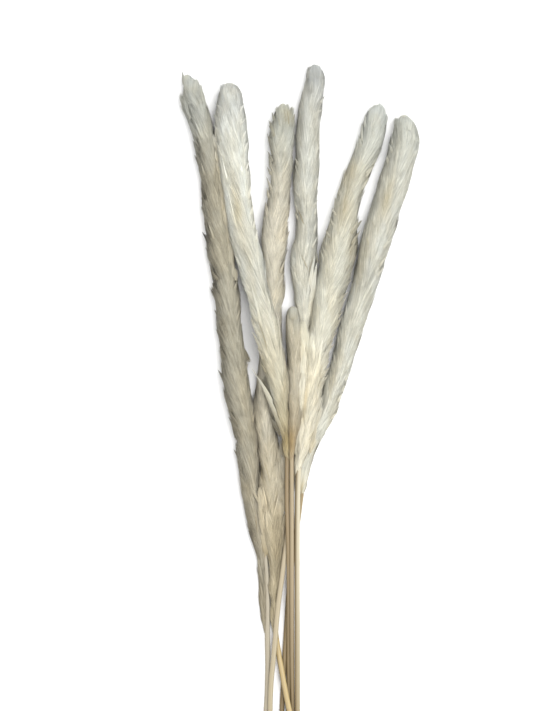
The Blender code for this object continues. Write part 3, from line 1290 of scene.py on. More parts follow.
@dataclass
class Plume:
    """The down of one stalk: a felt of under-down and the fine fibres that are combed over it.

    Attributes:
        number: which stalk it belongs to, as in the node's name.
        finish: its colours and softness.
        tufts: locks that stand out, placed by the photograph.
        fringes: rows of small tufts along its edges.
        thatches: locks over the hollows beside it.
        dents: hollows in its outline.
        patches: lighter, darker and warmer places, placed by the photograph, among them painted shade,
            painted shadow and painted light.
        parting: where its down parts to the left and to the right, in degrees from the top to the right.
        lean: angle between its fibres and its axis, in degrees.
        rounding: how far below the blunt upper end its rounding starts.
        lock_length: from root to tip.
        lock_width: at a lock's widest.
        locks_per_area: how many locks for each square metre of the outline.
        fibres_per_lock: how many fibres in a lock.
        fibre_width: at a fibre's widest.
        relief: how high the strands stand that the fibres gather into.
        swell: how far its tussocks swell out of the outline.
        shag: how far the tips of its tussocks stand off.
        crown_per_area: how many short locks for each square metre of the blunt upper end.
        crown_length: of those locks.
        shape: its outline, worked out when it is built.
        lie: how its down lies, worked out with it.
        dice: its own random numbers.
        coat: its fibres, kept until they become a mesh.
    """

    number: int
    finish: DownFinish
    tufts: tuple[Tuft, ...] = ()
    fringes: tuple[Fringe, ...] = ()
    thatches: tuple[Thatch, ...] = ()
    dents: tuple[Dent, ...] = ()
    patches: tuple[Patch, ...] = ()
    parting: float = 0.0
    lean: float = 9.0
    rounding: float = 0.005
    lock_length: float = 0.036
    lock_width: float = 0.0026
    locks_per_area: float = 140000.0
    fibres_per_lock: int = 8
    fibre_width: float = 0.00036
    relief: float = 0.00023
    swell: float = 0.0009
    shag: float = 0.0015
    crown_per_area: float = 160000.0
    crown_length: float = 0.014
    shape: Envelope = field(init=False)
    lie: Lie = field(init=False)
    dice: np.random.Generator = field(init=False)
    coat: Coat = field(init=False, default_factory=Coat)

    # The spiral of locks, and how far single locks and fibres stray from it
    TURN_PER_LOCK = math.radians(137.508)
    LENGTH_RANGE = (0.75, 1.3)
    LENGTH_BASE, LENGTH_PER_GIRTH = 0.010, 2.6
    WIDTH_RANGE = (0.6, 1.4)
    WIDTH_BASE, WIDTH_PER_GIRTH = 0.0012, 0.5
    TIP_SCATTER, ROOT_SCATTER, LOCK_TONES = 0.2, 0.07, 0.45
    CROWN_OVERLAP = 0.004
    CROWN_LENGTH_RANGE, CROWN_WIDTH_RANGE = (0.7, 1.2), (0.5, 0.9)
    CROWN_SCATTER, CROWN_TONES = 0.1, 0.2
    # One fibre: where its stations lie, how it tapers, how deep it roots and how far it flies away
    STATIONS, TAPER = (0.0, 0.5, 1.0), (0.8, 1.0, 0.0)
    FIBRE_RANGE = (0.7, 1.3)
    ASIDE_SCATTER, ASIDE_LIMIT = 0.5, 1.2
    LATE_START, EARLY_END, CROWDING = 0.35, 0.3, 1.5
    ROOT_SPREAD, TIP_NARROWING, YAW_PIVOT = 0.4, 0.25, 0.6
    ROOT_DEPTH, DEEPEST, ROOT_CURVE, TIP_CURL = 0.0012, 0.0005, 1.5, 1.6
    FLYAWAYS, FLYAWAY_RANGE, FLYAWAY_LIFT = 0.12, (0.2, 1.0), 0.0014
    YAW, ROLL = 0.045, 1.2
    STANDING_TIP = 0.7
    NORMAL_OUT, NORMAL_SCATTER = 0.25, 0.06
    # Tone spreads of fibres and streaks, and the painted shadow just past each tussock's tip
    FIBRE_TONES, SHADE_TONES, GAP_TONE, GAP_SHARPNESS = 0.9, 0.3, 0.8, 12.0
    # How far out the roots and the deepest fibres count, which sets their painted shade
    ROOT_OUTWARD, DEEP_OUTWARD = 0.35, 400.0
    # One tuft
    TUFT_STATIONS, TUFT_TAPER = (0.0, 0.35, 0.7, 1.0), (0.8, 1.0, 0.8, 0.0)
    TUFT_WIDEST = 0.45
    TUFT_FIBRES = 12
    TUFT_FIBRE_RANGE = (0.8, 1.4)
    TUFT_START, TUFT_CURVE = 0.3, 1.2
    TUFT_ROOT, TUFT_THICKNESS = 0.0008, 0.0004
    TUFT_END_DROP, TUFT_SCATTER, TUFT_OUTWARD = 0.35, 0.5, 0.4
    TUFT_TURN, TUFT_TILT, TUFT_UP, TUFT_FLATTEN = 0.35, 0.9, 0.3, 0.7
    FRINGE_LENGTHS, FRINGE_ROOTS, FRINGE_TIPS = (0.7, 1.3), (0.55, 0.85), (-0.1, 1.2)
    THATCH_SCATTER, THATCH_SPREAD, THATCH_LENGTHS = 0.2, 0.1, (0.7, 1.3)
    # The felt under the fibres, and the girths below which everything is drawn in
    FELT_SIDES, FELT_DEPTH, FELT_LEAST, FELT_OUTWARD, FELT_END = 44, 0.0009, 0.0004, 0.4, 0.0001
    FULL_GIRTH, LEAST_BODY, LEAST_TURN, LEAST_RADIUS = 0.006, 0.001, 0.0025, 0.0003
    STEEPEST = (-2.5, 0.5)
    PATCH_EDGE, PATCH_BELOW = -0.2, 0.4
    WARMEST = 1.5

    @property
    def node(self) -> str:
        """Name of the CAD node that this plume stands for."""
        return f"plume_{self.number}"

    def find(self, place: tuple[float, float]) -> tuple[float, float]:
        """How far along the axis and to the right of it a pixel of the photograph lies."""
        return self.shape.axis.nearest(*picture_to_bunch(*place))

    def painted_shade_and_stain(self, arc: np.ndarray, angle: np.ndarray) -> tuple[np.ndarray, np.ndarray]:
        """Tone and warmth that the plume's patches give to places on it, painted shade and painted light
        among them.

        Args:
            arc: places along it.
            angle: places round it.

        Returns:
            The tone and the warmth there.
        """
        tone, warmth = np.zeros_like(arc + angle), np.zeros_like(arc + angle)
        off = self.shape.read(self.shape.body, arc) * np.sin(angle)
        facing_up = np.where(np.cos(angle) > self.PATCH_EDGE, 1.0, self.PATCH_BELOW)
        for patch in self.patches:
            patch_arc, patch_off = self.find(patch.place)
            away = ((arc - patch_arc) / (patch.half_length * MM)) ** 2
            away = away + ((off - patch_off) / (patch.half_width * MM)) ** 2
            share = np.exp(-away) * facing_up
            tone += patch.tone * share
            warmth += patch.warmth * share
        return tone, warmth

    def surface(self, arc: np.ndarray, angle: np.ndarray) -> tuple[np.ndarray, np.ndarray, np.ndarray]:
        """Directions on the plume's soft surface.

        Args:
            arc: places along it.
            angle: places round it.

        Returns:
            The way out from the axis, the way round it and the soft normal, strands included.
        """
        axis = self.shape.axis
        up, side, ahead = (axis.read(rows, arc) for rows in (axis.up, axis.side, axis.ahead))
        out = up * np.cos(angle)[..., None] + side * np.sin(angle)[..., None]
        around = side * np.cos(angle)[..., None] - up * np.sin(angle)[..., None]
        rise_along, rise_round = self.lie.tilt(arc, angle, self.shape.read(self.shape.body, arc))
        slope = np.clip(self.shape.read(self.shape.slope, arc), *self.STEEPEST) + rise_along
        normal = unit(out - slope[..., None] * ahead - rise_round[..., None] * around)
        return out, around, normal

    def lay_felt(self) -> None:
        """Close the plume with a felt of under-down just below its fibres."""
        shape, lie = self.shape, self.lie
        angle = np.arange(self.FELT_SIDES) * FULL_TURN / self.FELT_SIDES
        arc = np.append(shape.arc[:-1], shape.arc[-1] - self.FELT_END)[:, None] + 0.0 * angle[None]
        angle = angle[None] + 0.0 * arc
        out, _, normal = self.surface(arc, angle)
        girth = shape.read(shape.girth, arc)
        room = np.clip(girth / self.FULL_GIRTH, 0.0, 1.0)
        radius = girth - (self.FELT_DEPTH - lie.height(arc, angle)) * room
        pulled_in = self.FELT_DEPTH * np.clip((arc - shape.shoulder) / self.rounding, 0.0, 1.0)
        points = shape.axis.centre(arc - pulled_in) + out * np.maximum(radius, self.FELT_LEAST)[..., None]
        # Patch tones on the felt: its own tone, painted shade and painted light
        tone, warmth = self.painted_shade_and_stain(arc, angle)
        # The felt counts as lying deep, so it takes the painted shade of the depth of the down
        self.coat.add_felt(points, normal, {
            "outward": np.full(arc.shape, self.FELT_OUTWARD),
            "tone": tone + self.SHADE_TONES * lie.shade.read(arc, angle),
            "warmth": warmth,
            "along": arc / shape.axis.length,
        })

    def place_locks(self) -> Locks:
        """Spread locks over the plume in a spiral.

        Returns:
            The locks.
        """
        shape, dice = self.shape, self.dice
        count = int(self.locks_per_area * shape.skin[-1])
        order = (np.arange(count) + dice.uniform(0.0, 1.0, count)) / count
        tip_arc = np.interp(order * shape.skin[-1], shape.skin, shape.arc)
        body = shape.read(shape.body, tip_arc)
        length = np.minimum(self.lock_length, self.LENGTH_BASE + self.LENGTH_PER_GIRTH * body)
        length = length * dice.uniform(*self.LENGTH_RANGE, count)
        tip_angle = np.arange(count) * self.TURN_PER_LOCK + dice.normal(0.0, self.TIP_SCATTER, count)
        tip_angle = np.mod(tip_angle + math.pi, FULL_TURN) - math.pi
        turned = self.lie.turning(tip_angle) * length
        root_angle = tip_angle - turned + dice.normal(0.0, self.ROOT_SCATTER, count)
        width = np.minimum(self.lock_width, self.WIDTH_PER_GIRTH * body + self.WIDTH_BASE)
        return Locks(
            root_arc=tip_arc - length,
            tip_arc=tip_arc,
            root_angle=root_angle,
            tip_angle=tip_angle,
            width=width * dice.uniform(*self.WIDTH_RANGE, count),
            tone=dice.normal(0.0, self.LOCK_TONES, count),
        )

    def place_crown(self) -> Locks:
        """Fill the blunt upper end with short close locks.

        Returns:
            The locks.
        """
        shape, dice = self.shape, self.dice
        start = np.interp(shape.shoulder - self.CROWN_OVERLAP, shape.arc, shape.skin)
        area = shape.skin[-1] - start
        count = int(self.crown_per_area * area)
        tip_arc = np.interp(start + area * dice.random(count), shape.skin, shape.arc)
        tip_angle = dice.uniform(-math.pi, math.pi, count)
        return Locks(
            root_arc=tip_arc - self.crown_length * dice.uniform(*self.CROWN_LENGTH_RANGE, count),
            tip_arc=tip_arc,
            root_angle=tip_angle + dice.normal(0.0, self.CROWN_SCATTER, count),
            tip_angle=tip_angle,
            width=self.lock_width * dice.uniform(*self.CROWN_WIDTH_RANGE, count),
            tone=dice.normal(0.0, self.CROWN_TONES, count),
        )

    def comb(self, locks: Locks) -> None:
        """Draw the fibres of every lock.

        Args:
            locks: the locks to fill.
        """
        shape, lie, dice = self.shape, self.lie, self.dice
        which = np.repeat(np.arange(len(locks.tip_arc)), self.fibres_per_lock)
        count = len(which)
        aside = np.clip(dice.normal(0.0, self.ASIDE_SCATTER, count), -self.ASIDE_LIMIT, self.ASIDE_LIMIT)
        deep = self.DEEPEST * dice.random(count) ** self.CROWDING
        start = self.LATE_START * dice.random(count)
        end = 1.0 - self.EARLY_END * dice.random(count) ** self.CROWDING
        stray = (dice.random(count) < self.FLYAWAYS) * dice.uniform(*self.FLYAWAY_RANGE, count)
        yaw = dice.normal(0.0, self.YAW, count)[:, None]
        t = start[:, None] + (end - start)[:, None] * np.array(self.STATIONS)[None]
        root_arc, tip_arc = locks.root_arc[which][:, None], locks.tip_arc[which][:, None]
        arc = np.clip(root_arc + (tip_arc - root_arc) * t, shape.arc[0], shape.arc[-1])
        last = arc[:, -1:]
        fill = shape.read(shape.girth, last) / np.maximum(shape.read(shape.body, last), self.LEAST_BODY)
        body = shape.read(shape.body, arc)
        room = np.clip(body / self.FULL_GIRTH, 0.0, 1.0)
        turn = locks.root_angle[which][:, None] * (1.0 - t) + locks.tip_angle[which][:, None] * t
        spread = np.minimum(t + self.ROOT_SPREAD, 1.0) * (1.0 - self.TIP_NARROWING * t**3)
        offset = (aside * locks.width[which] / 2.0)[:, None] * spread
        offset = offset + yaw * (t - self.YAW_PIVOT) * (tip_arc - root_arc)
        angle = turn + offset / np.maximum(body * fill, self.LEAST_TURN)
        sunk = self.ROOT_DEPTH * (1.0 - t) ** self.ROOT_CURVE + deep[:, None] - lie.height(arc, angle)
        standing = lie.standing(last, angle[:, -1:])
        lift = self.FLYAWAY_LIFT * stray[:, None] * t**2 + self.shag * standing * t**self.TIP_CURL
        stray = np.maximum(stray, (standing[:, 0] > self.STANDING_TIP) * self.STANDING_TIP)
        radius = np.maximum(body * fill + (lift - sunk) * room, self.LEAST_RADIUS)
        out, around, normal = self.surface(arc, angle)
        points = shape.axis.centre(arc) + out * radius[..., None]
        roll = (stray * dice.uniform(-self.ROLL, self.ROLL, count))[:, None, None]
        facing = unit(out * np.cos(roll) + around * np.sin(roll))
        swing = dice.normal(0.0, self.NORMAL_SCATTER, count)[:, None, None]
        normal = unit(out * (self.NORMAL_OUT + np.abs(roll)) + normal + around * swing)
        girths = self.fibre_width * dice.uniform(*self.FIBRE_RANGE, count)[:, None]
        # Patch tones on the fibres: their own tone, painted shade and painted light
        tone, warmth = self.painted_shade_and_stain(arc, angle)
        # Painted shadow: fibres just past the tip of each tussock are darkened
        gap = np.exp(-self.GAP_SHARPNESS * lie.standing(arc, angle))
        tone = tone + self.SHADE_TONES * lie.shade.read(arc, angle) - self.GAP_TONE * gap
        tone = tone + (locks.tone[which] + dice.normal(0.0, self.FIBRE_TONES, count))[:, None]
        # How far out each station lies, which sets the painted shade towards the roots
        outward = self.ROOT_OUTWARD + (1.0 - self.ROOT_OUTWARD) * t - self.DEEP_OUTWARD * deep[:, None]
        self.coat.add_ribbons(points, girths * np.array(self.TAPER)[None], facing, normal, {
            "outward": np.clip(outward, 0.0, 1.0),
            "tone": tone,
            "warmth": np.clip(warmth, -1.0, self.WARMEST),
            "along": arc / shape.axis.length,
        })

    def draw_tuft(self, root: tuple[float, float], tip: tuple[float, float], style: TuftStyle) -> None:
        """Draw one tuft, lying on the plume or leaving its outline.

        Args:
            root: its place along the axis and to the right of it.
            tip: the same for its tip.
            style: how it looks.
        """
        shape, dice = self.shape, self.dice
        root_arc, root_off = root
        tip_arc, tip_off = tip
        length = math.hypot(tip_arc - root_arc, tip_off - root_off)
        count = max(self.TUFT_FIBRES, round(style.density * style.width))
        aside = np.clip(dice.normal(0.0, self.ASIDE_SCATTER, count), -1.0, 1.0)[:, None]
        start = self.TUFT_START * dice.random(count)
        end = 1.0 - self.EARLY_END * dice.random(count) ** self.CROWDING
        t = start[:, None] + (end - start)[:, None] * np.array(self.TUFT_STATIONS)[None]
        form = np.interp(t, (0.0, self.TUFT_WIDEST, 1.0), style.form.value)
        spread = form * aside * style.width * MM / 2.0
        arc = root_arc + (tip_arc - root_arc) * t - spread * (tip_off - root_off) / length
        off = root_off + (tip_off - root_off) * t**self.TUFT_CURVE + spread * (tip_arc - root_arc) / length
        radius = shape.read(shape.body, arc)
        level = np.sqrt(np.maximum(radius**2 - off**2, (style.fill * radius) ** 2))
        past_shoulder = np.clip((arc - shape.shoulder) / self.rounding, 0.0, 2.0)
        level = level * (1.0 - self.TUFT_END_DROP * past_shoulder)
        thick = self.TUFT_THICKNESS * dice.normal(0.0, 1.0, count)[:, None]
        height = level - self.TUFT_ROOT * (1.0 - t) + style.lift * MM * t**self.ROOT_CURVE + thick
        up, side = shape.axis.read(shape.axis.up, arc), shape.axis.read(shape.axis.side, arc)
        points = shape.axis.centre(arc) + side * off[..., None] + up * height[..., None]
        flatten = 1.0 - self.TUFT_FLATTEN * min(style.fill, 1.0)
        tilt = np.clip(off / radius, -self.TUFT_TILT, self.TUFT_TILT) * flatten + self.TUFT_TURN * aside
        facing = unit(side * tilt[..., None] + up * (level / radius + self.TUFT_UP)[..., None])
        girths = self.fibre_width * dice.uniform(*self.TUFT_FIBRE_RANGE, count)[:, None]
        # Patch tones on the tuft: its own tone, painted shade and painted light
        tone, warmth = self.painted_shade_and_stain(arc, np.arcsin(np.clip(off / radius, -1.0, 1.0)))
        self.coat.add_ribbons(points, girths * np.array(self.TUFT_TAPER)[None], facing, facing, {
            "outward": np.clip(self.TUFT_OUTWARD + (1.0 - self.TUFT_OUTWARD) * t, 0.0, 1.0),
            "tone": tone + style.tone + dice.normal(0.0, self.TUFT_SCATTER, count)[:, None],
            "warmth": np.clip(warmth + style.warmth, 0.0, self.WARMEST),
            "along": arc / shape.axis.length + style.shift,
        })

    def draw_fringe(self, fringe: Fringe) -> None:
        """Roughen one edge with a row of small tufts.

        Args:
            fringe: the row.
        """
        shape, dice = self.shape, self.dice
        along = [picture_to_bunch(0.0, down)[1] for down in fringe.stretch]
        first, last = np.interp(along, shape.axis.middle[:, 1], shape.axis.arc)
        side = fringe.side.value
        for share in (np.arange(fringe.count) + dice.random(fringe.count)) / fringe.count:
            tip_arc = first + (last - first) * share
            root_arc = tip_arc - fringe.length * MM * dice.uniform(*self.FRINGE_LENGTHS)
            root_off = float(shape.read(shape.body, root_arc)) * dice.uniform(*self.FRINGE_ROOTS)
            reach = fringe.reach * MM * dice.uniform(*self.FRINGE_TIPS)
            tip_off = float(shape.read(shape.body, tip_arc)) + reach
            self.draw_tuft((root_arc, side * root_off), (tip_arc, side * tip_off), fringe.style)

    def draw_thatch(self, thatch: Thatch) -> None:
        """Lay one band of locks.

        Args:
            thatch: the band.
        """
        dice = self.dice
        foot, top = np.array(thatch.band[:2]), np.array(thatch.band[2:])
        way = unit(top - foot)
        across = np.array((-way[1], way[0]))
        for share in (np.arange(thatch.count) + dice.random(thatch.count)) / thatch.count:
            root = foot + (top - foot) * share + across * thatch.half_width * dice.uniform(-1.0, 1.0)
            heading = way + across * dice.normal(0.0, self.THATCH_SPREAD)
            tip = root + heading * thatch.length * dice.uniform(*self.THATCH_LENGTHS)
            fill = float(np.interp(share, (0.0, 1.0), thatch.fills))
            tone = thatch.style.tone + dice.normal(0.0, self.THATCH_SCATTER)
            self.draw_tuft(self.find(root), self.find(tip), replace(thatch.style, fill=fill, tone=tone))

    def hollow(self, dent: Dent) -> tuple[float, float, float, float, float]:
        """Find a hollow's place on the plume.

        Args:
            dent: the hollow.

        Returns:
            Its place along, its angle, its depth, its reach along and its reach round.
        """
        arc, off = self.find(dent.place)
        angle = math.asin(float(np.clip(off / self.shape.read(self.shape.body, arc), -1.0, 1.0)))
        return arc, angle, dent.depth * MM, dent.half_length * MM, math.radians(dent.half_turn)

    def build(self) -> bpy.types.Object:
        """Make the plume's down as one mesh piece.

        Returns:
            The piece.
        """
        self.shape = Envelope.of_axis(Axis.of_node(self.node), self.rounding)
        self.dice = np.random.default_rng(SEED + self.number)
        lie = Lie.over(self.shape, self.dice, self.lean, self.parting, self.relief, self.swell)
        self.lie = replace(lie, hollows=tuple(self.hollow(dent) for dent in self.dents))
        self.comb(self.place_locks())
        self.comb(self.place_crown())
        self.lay_felt()
        for tuft in self.tufts:
            self.draw_tuft(self.find(tuft.root), self.find(tuft.tip), tuft.style)
        for fringe in self.fringes:
            self.draw_fringe(fringe)
        for thatch in self.thatches:
            self.draw_thatch(thatch)
        name = self.node + "_down"
        piece = add_piece(name, self.coat.mesh(name), self.finish.material(name), self.node)
        triangles = sum(int((batch.sizes - 2).sum()) for batch in self.coat.batches)
        LOG.info("%s: %d tufts, %d triangles", piece.name, len(self.tufts), triangles)
        return piece


@dataclass
class Stem:
    """One bare stalk, from inside its plume down to the cut end.

    Attributes:
        number: which stalk it belongs to, as in the node's name.
        finish: its colours and gloss.
        joints: where sheath joints ring it, as shares of its length from the cut end.
    """

    number: int
    finish: StrawFinish
    joints: tuple[float, ...] = (0.18, 0.62)

    SIDES = 24
    SPACING = 0.0035
    SMOOTHING = 4
    # The cut end: a pith a little below the rim, and how the soft normals turn outward at both ends
    PITH_DEPTH = 0.0004
    PITH_SHARE = 0.62
    RIM = 0.0004
    END_TILTS = (-3.0, -1.0, 1.0)
    JOINT_REACH = 0.0022
    JOINT_SWELL = 0.07
    # Lengthwise ridges: how many round the stem, how high as a share of its girth, and each stem's own turn
    RIDGES = ((9.0, 0.012, 1.0), (4.0, 0.018, 2.0))

    @property
    def node(self) -> str:
        """Name of the CAD node that this stem stands for."""
        return f"stem_{self.number}"

    def girth(self, axis: Axis, arc: np.ndarray) -> np.ndarray:
        """Radius of the stem along it, joints and cut end included.

        Args:
            axis: the stem's axis.
            arc: places along it, the first two at the cut end.

        Returns:
            The radius there.
        """
        radius = np.interp(arc, axis.arc, soften(axis.girth, self.SMOOTHING))
        for joint in self.joints:
            away = (arc - joint * axis.length) / self.JOINT_REACH
            radius = radius * (1.0 + self.JOINT_SWELL * np.exp(-(away**2)))
        radius[0] *= self.PITH_SHARE
        return radius

    def build(self) -> bpy.types.Object:
        """Make the stem as one mesh piece.

        Returns:
            The piece.
        """
        axis = Axis.of_node(self.node)
        arc = np.linspace(0.0, axis.length, int(axis.length / self.SPACING))
        arc = np.concatenate([[self.PITH_DEPTH, 0.0, self.RIM], arc[1:]])
        radius = self.girth(axis, arc)
        turn = np.arange(self.SIDES) * FULL_TURN / self.SIDES
        ridges = 1.0
        for waves, height, own_turn in self.RIDGES:
            ridges = ridges + height * np.cos(turn * waves + own_turn * self.number)
        up, side = axis.read(axis.up, arc), axis.read(axis.side, arc)
        circle = up[:, None] * np.cos(turn)[None, :, None] + side[:, None] * np.sin(turn)[None, :, None]
        skin = axis.read(axis.middle, arc)[:, None] + circle * (radius[:, None] * ridges[None])[..., None]
        ends = np.zeros((len(arc), 1, 1))
        ends[[0, 1, -1], 0, 0] = self.END_TILTS
        normals = circle + ends * axis.read(axis.ahead, arc)[:, None]
        # Mask of the painted shade along the stem's shaded side
        away = np.mod(turn - math.radians(self.finish.flank) + math.pi, FULL_TURN) - math.pi
        rows = np.zeros((len(arc), self.SIDES))
        coat = Coat()
        coat.add_felt(skin, normals, {
            "round_x": rows + np.cos(turn)[None],
            "round_y": rows + np.sin(turn)[None],
            "flank": rows + np.exp(-((away / self.finish.flank_reach) ** 2))[None],
            "run": rows + arc[:, None],
            "along": rows + arc[:, None] / axis.length,
        })
        name = self.node + "_straw"
        piece = add_piece(name, coat.mesh(name), self.finish.material(name), self.node)
        LOG.info("%s: %d faces", piece.name, len(piece.data.polygons))
        return piece


@dataclass(frozen=True)
class SoftLight:
    """One square soft light that looks at the bunch.

    Attributes:
        name: the light's name.
        place: where it hangs.
        size: its side.
        power: in watts.
    """

    name: str
    place: tuple[float, float, float]
    size: float
    power: float

    AIM = Vector((0.0, 0.1, 0.0))

    def build(self) -> None:
        """Hang the light."""
        light = bpy.data.lights.new(self.name, "AREA")
        light.size = self.size
        light.energy = self.power
        lamp = bpy.data.objects.new(self.name, light)
        lamp.location = self.place
        lamp.rotation_mode = "QUATERNION"
        lamp.rotation_quaternion = (self.AIM - Vector(self.place)).to_track_quat("-Z", "Y")
        lamp.visible_camera = False
        bpy.context.scene.collection.objects.link(lamp)


@dataclass
class Studio:
    """The pale table, the soft lights and the camera over the bunch.

    Attributes:
        table_size: side of the square table top.
        table_tones: darkest and lightest grey of its faint clouds.
        table_clouds: how fine they are.
        table_roughness: of its top.
        table_gloss: specular level of its top.
        lights: the main light, from the upper right, and the weak one opposite.
        sky: brightness of the surrounding light.
        clip: nearest and farthest distance that the camera sees.
    """

    table_size: float = 30.0
    table_tones: tuple[float, float] = (0.94, 0.96)
    table_clouds: float = 4.0
    table_roughness: float = 0.9
    table_gloss: float = 0.1
    lights: tuple[SoftLight, ...] = (
        SoftLight("key", (0.6, 0.45, 2.3), 1.6, 60.0),
        SoftLight("fill", (-1.4, -0.4, 1.6), 1.2, 4.0),
    )
    sky: float = 0.84
    clip: tuple[float, float] = (0.1, 100.0)

    def build_table(self) -> None:
        """Lay the pale table top under the bunch."""
        half = self.table_size / 2.0
        corners = [(-half, -half, 0.0), (half, -half, 0.0), (half, half, 0.0), (-half, half, 0.0)]
        mesh = bpy.data.meshes.new("table")
        mesh.from_pydata(corners, [], [(0, 1, 2, 3)])
        table = bpy.data.objects.new("table", mesh)
        bpy.context.scene.collection.objects.link(table)
        material, shader = new_material("table")
        tree = material.node_tree
        noise = tree.nodes.new("ShaderNodeTexNoise")
        noise.inputs["Scale"].default_value = self.table_clouds
        dark, light = ((tone, tone, tone) for tone in self.table_tones)
        colour = Shading.mix(tree, "MIX", noise.outputs["Fac"], dark, light)
        tree.links.new(colour, shader.inputs["Base Color"])
        shader.inputs["Roughness"].default_value = self.table_roughness
        shader.inputs["Specular IOR Level"].default_value = self.table_gloss
        mesh.materials.append(material)

    def build_sky(self) -> None:
        """Set the surrounding light."""
        world = bpy.data.worlds.new("studio")
        bpy.context.scene.world = world
        world.use_nodes = True
        background = world.node_tree.nodes["Background"]
        background.inputs["Color"].default_value = (1.0, 1.0, 1.0, 1.0)
        background.inputs["Strength"].default_value = self.sky

    def build_camera(self) -> None:
        """Hang the camera straight over the bunch, framed as in the photograph."""
        lens = bpy.data.cameras.new("camera")
        lens.type = "PERSP"
        lens.sensor_fit = "AUTO"
        lens.sensor_width = SENSOR_MM
        lens.lens = SENSOR_MM * (CAMERA_HEIGHT - BUNCH_MID_HEIGHT) / (PICTURE_HEIGHT_MM * MM)
        lens.clip_start, lens.clip_end = self.clip
        lens.dof.use_dof = False
        camera = bpy.data.objects.new("camera", lens)
        across, along = picture_to_bunch(PICTURE_WIDTH_MM / 2.0, PICTURE_HEIGHT_MM / 2.0)
        camera.location = (across, along, CAMERA_HEIGHT)
        bpy.context.scene.collection.objects.link(camera)
        bpy.context.scene.camera = camera

    def build(self) -> None:
        """Set up the whole studio."""
        self.build_table()
        for light in self.lights:
            light.build()
        self.build_sky()
        self.build_camera()
        bpy.context.scene.view_settings.view_transform = "Standard"
        LOG.info("studio: %d lights, camera %.3f m up", len(self.lights), CAMERA_HEIGHT)


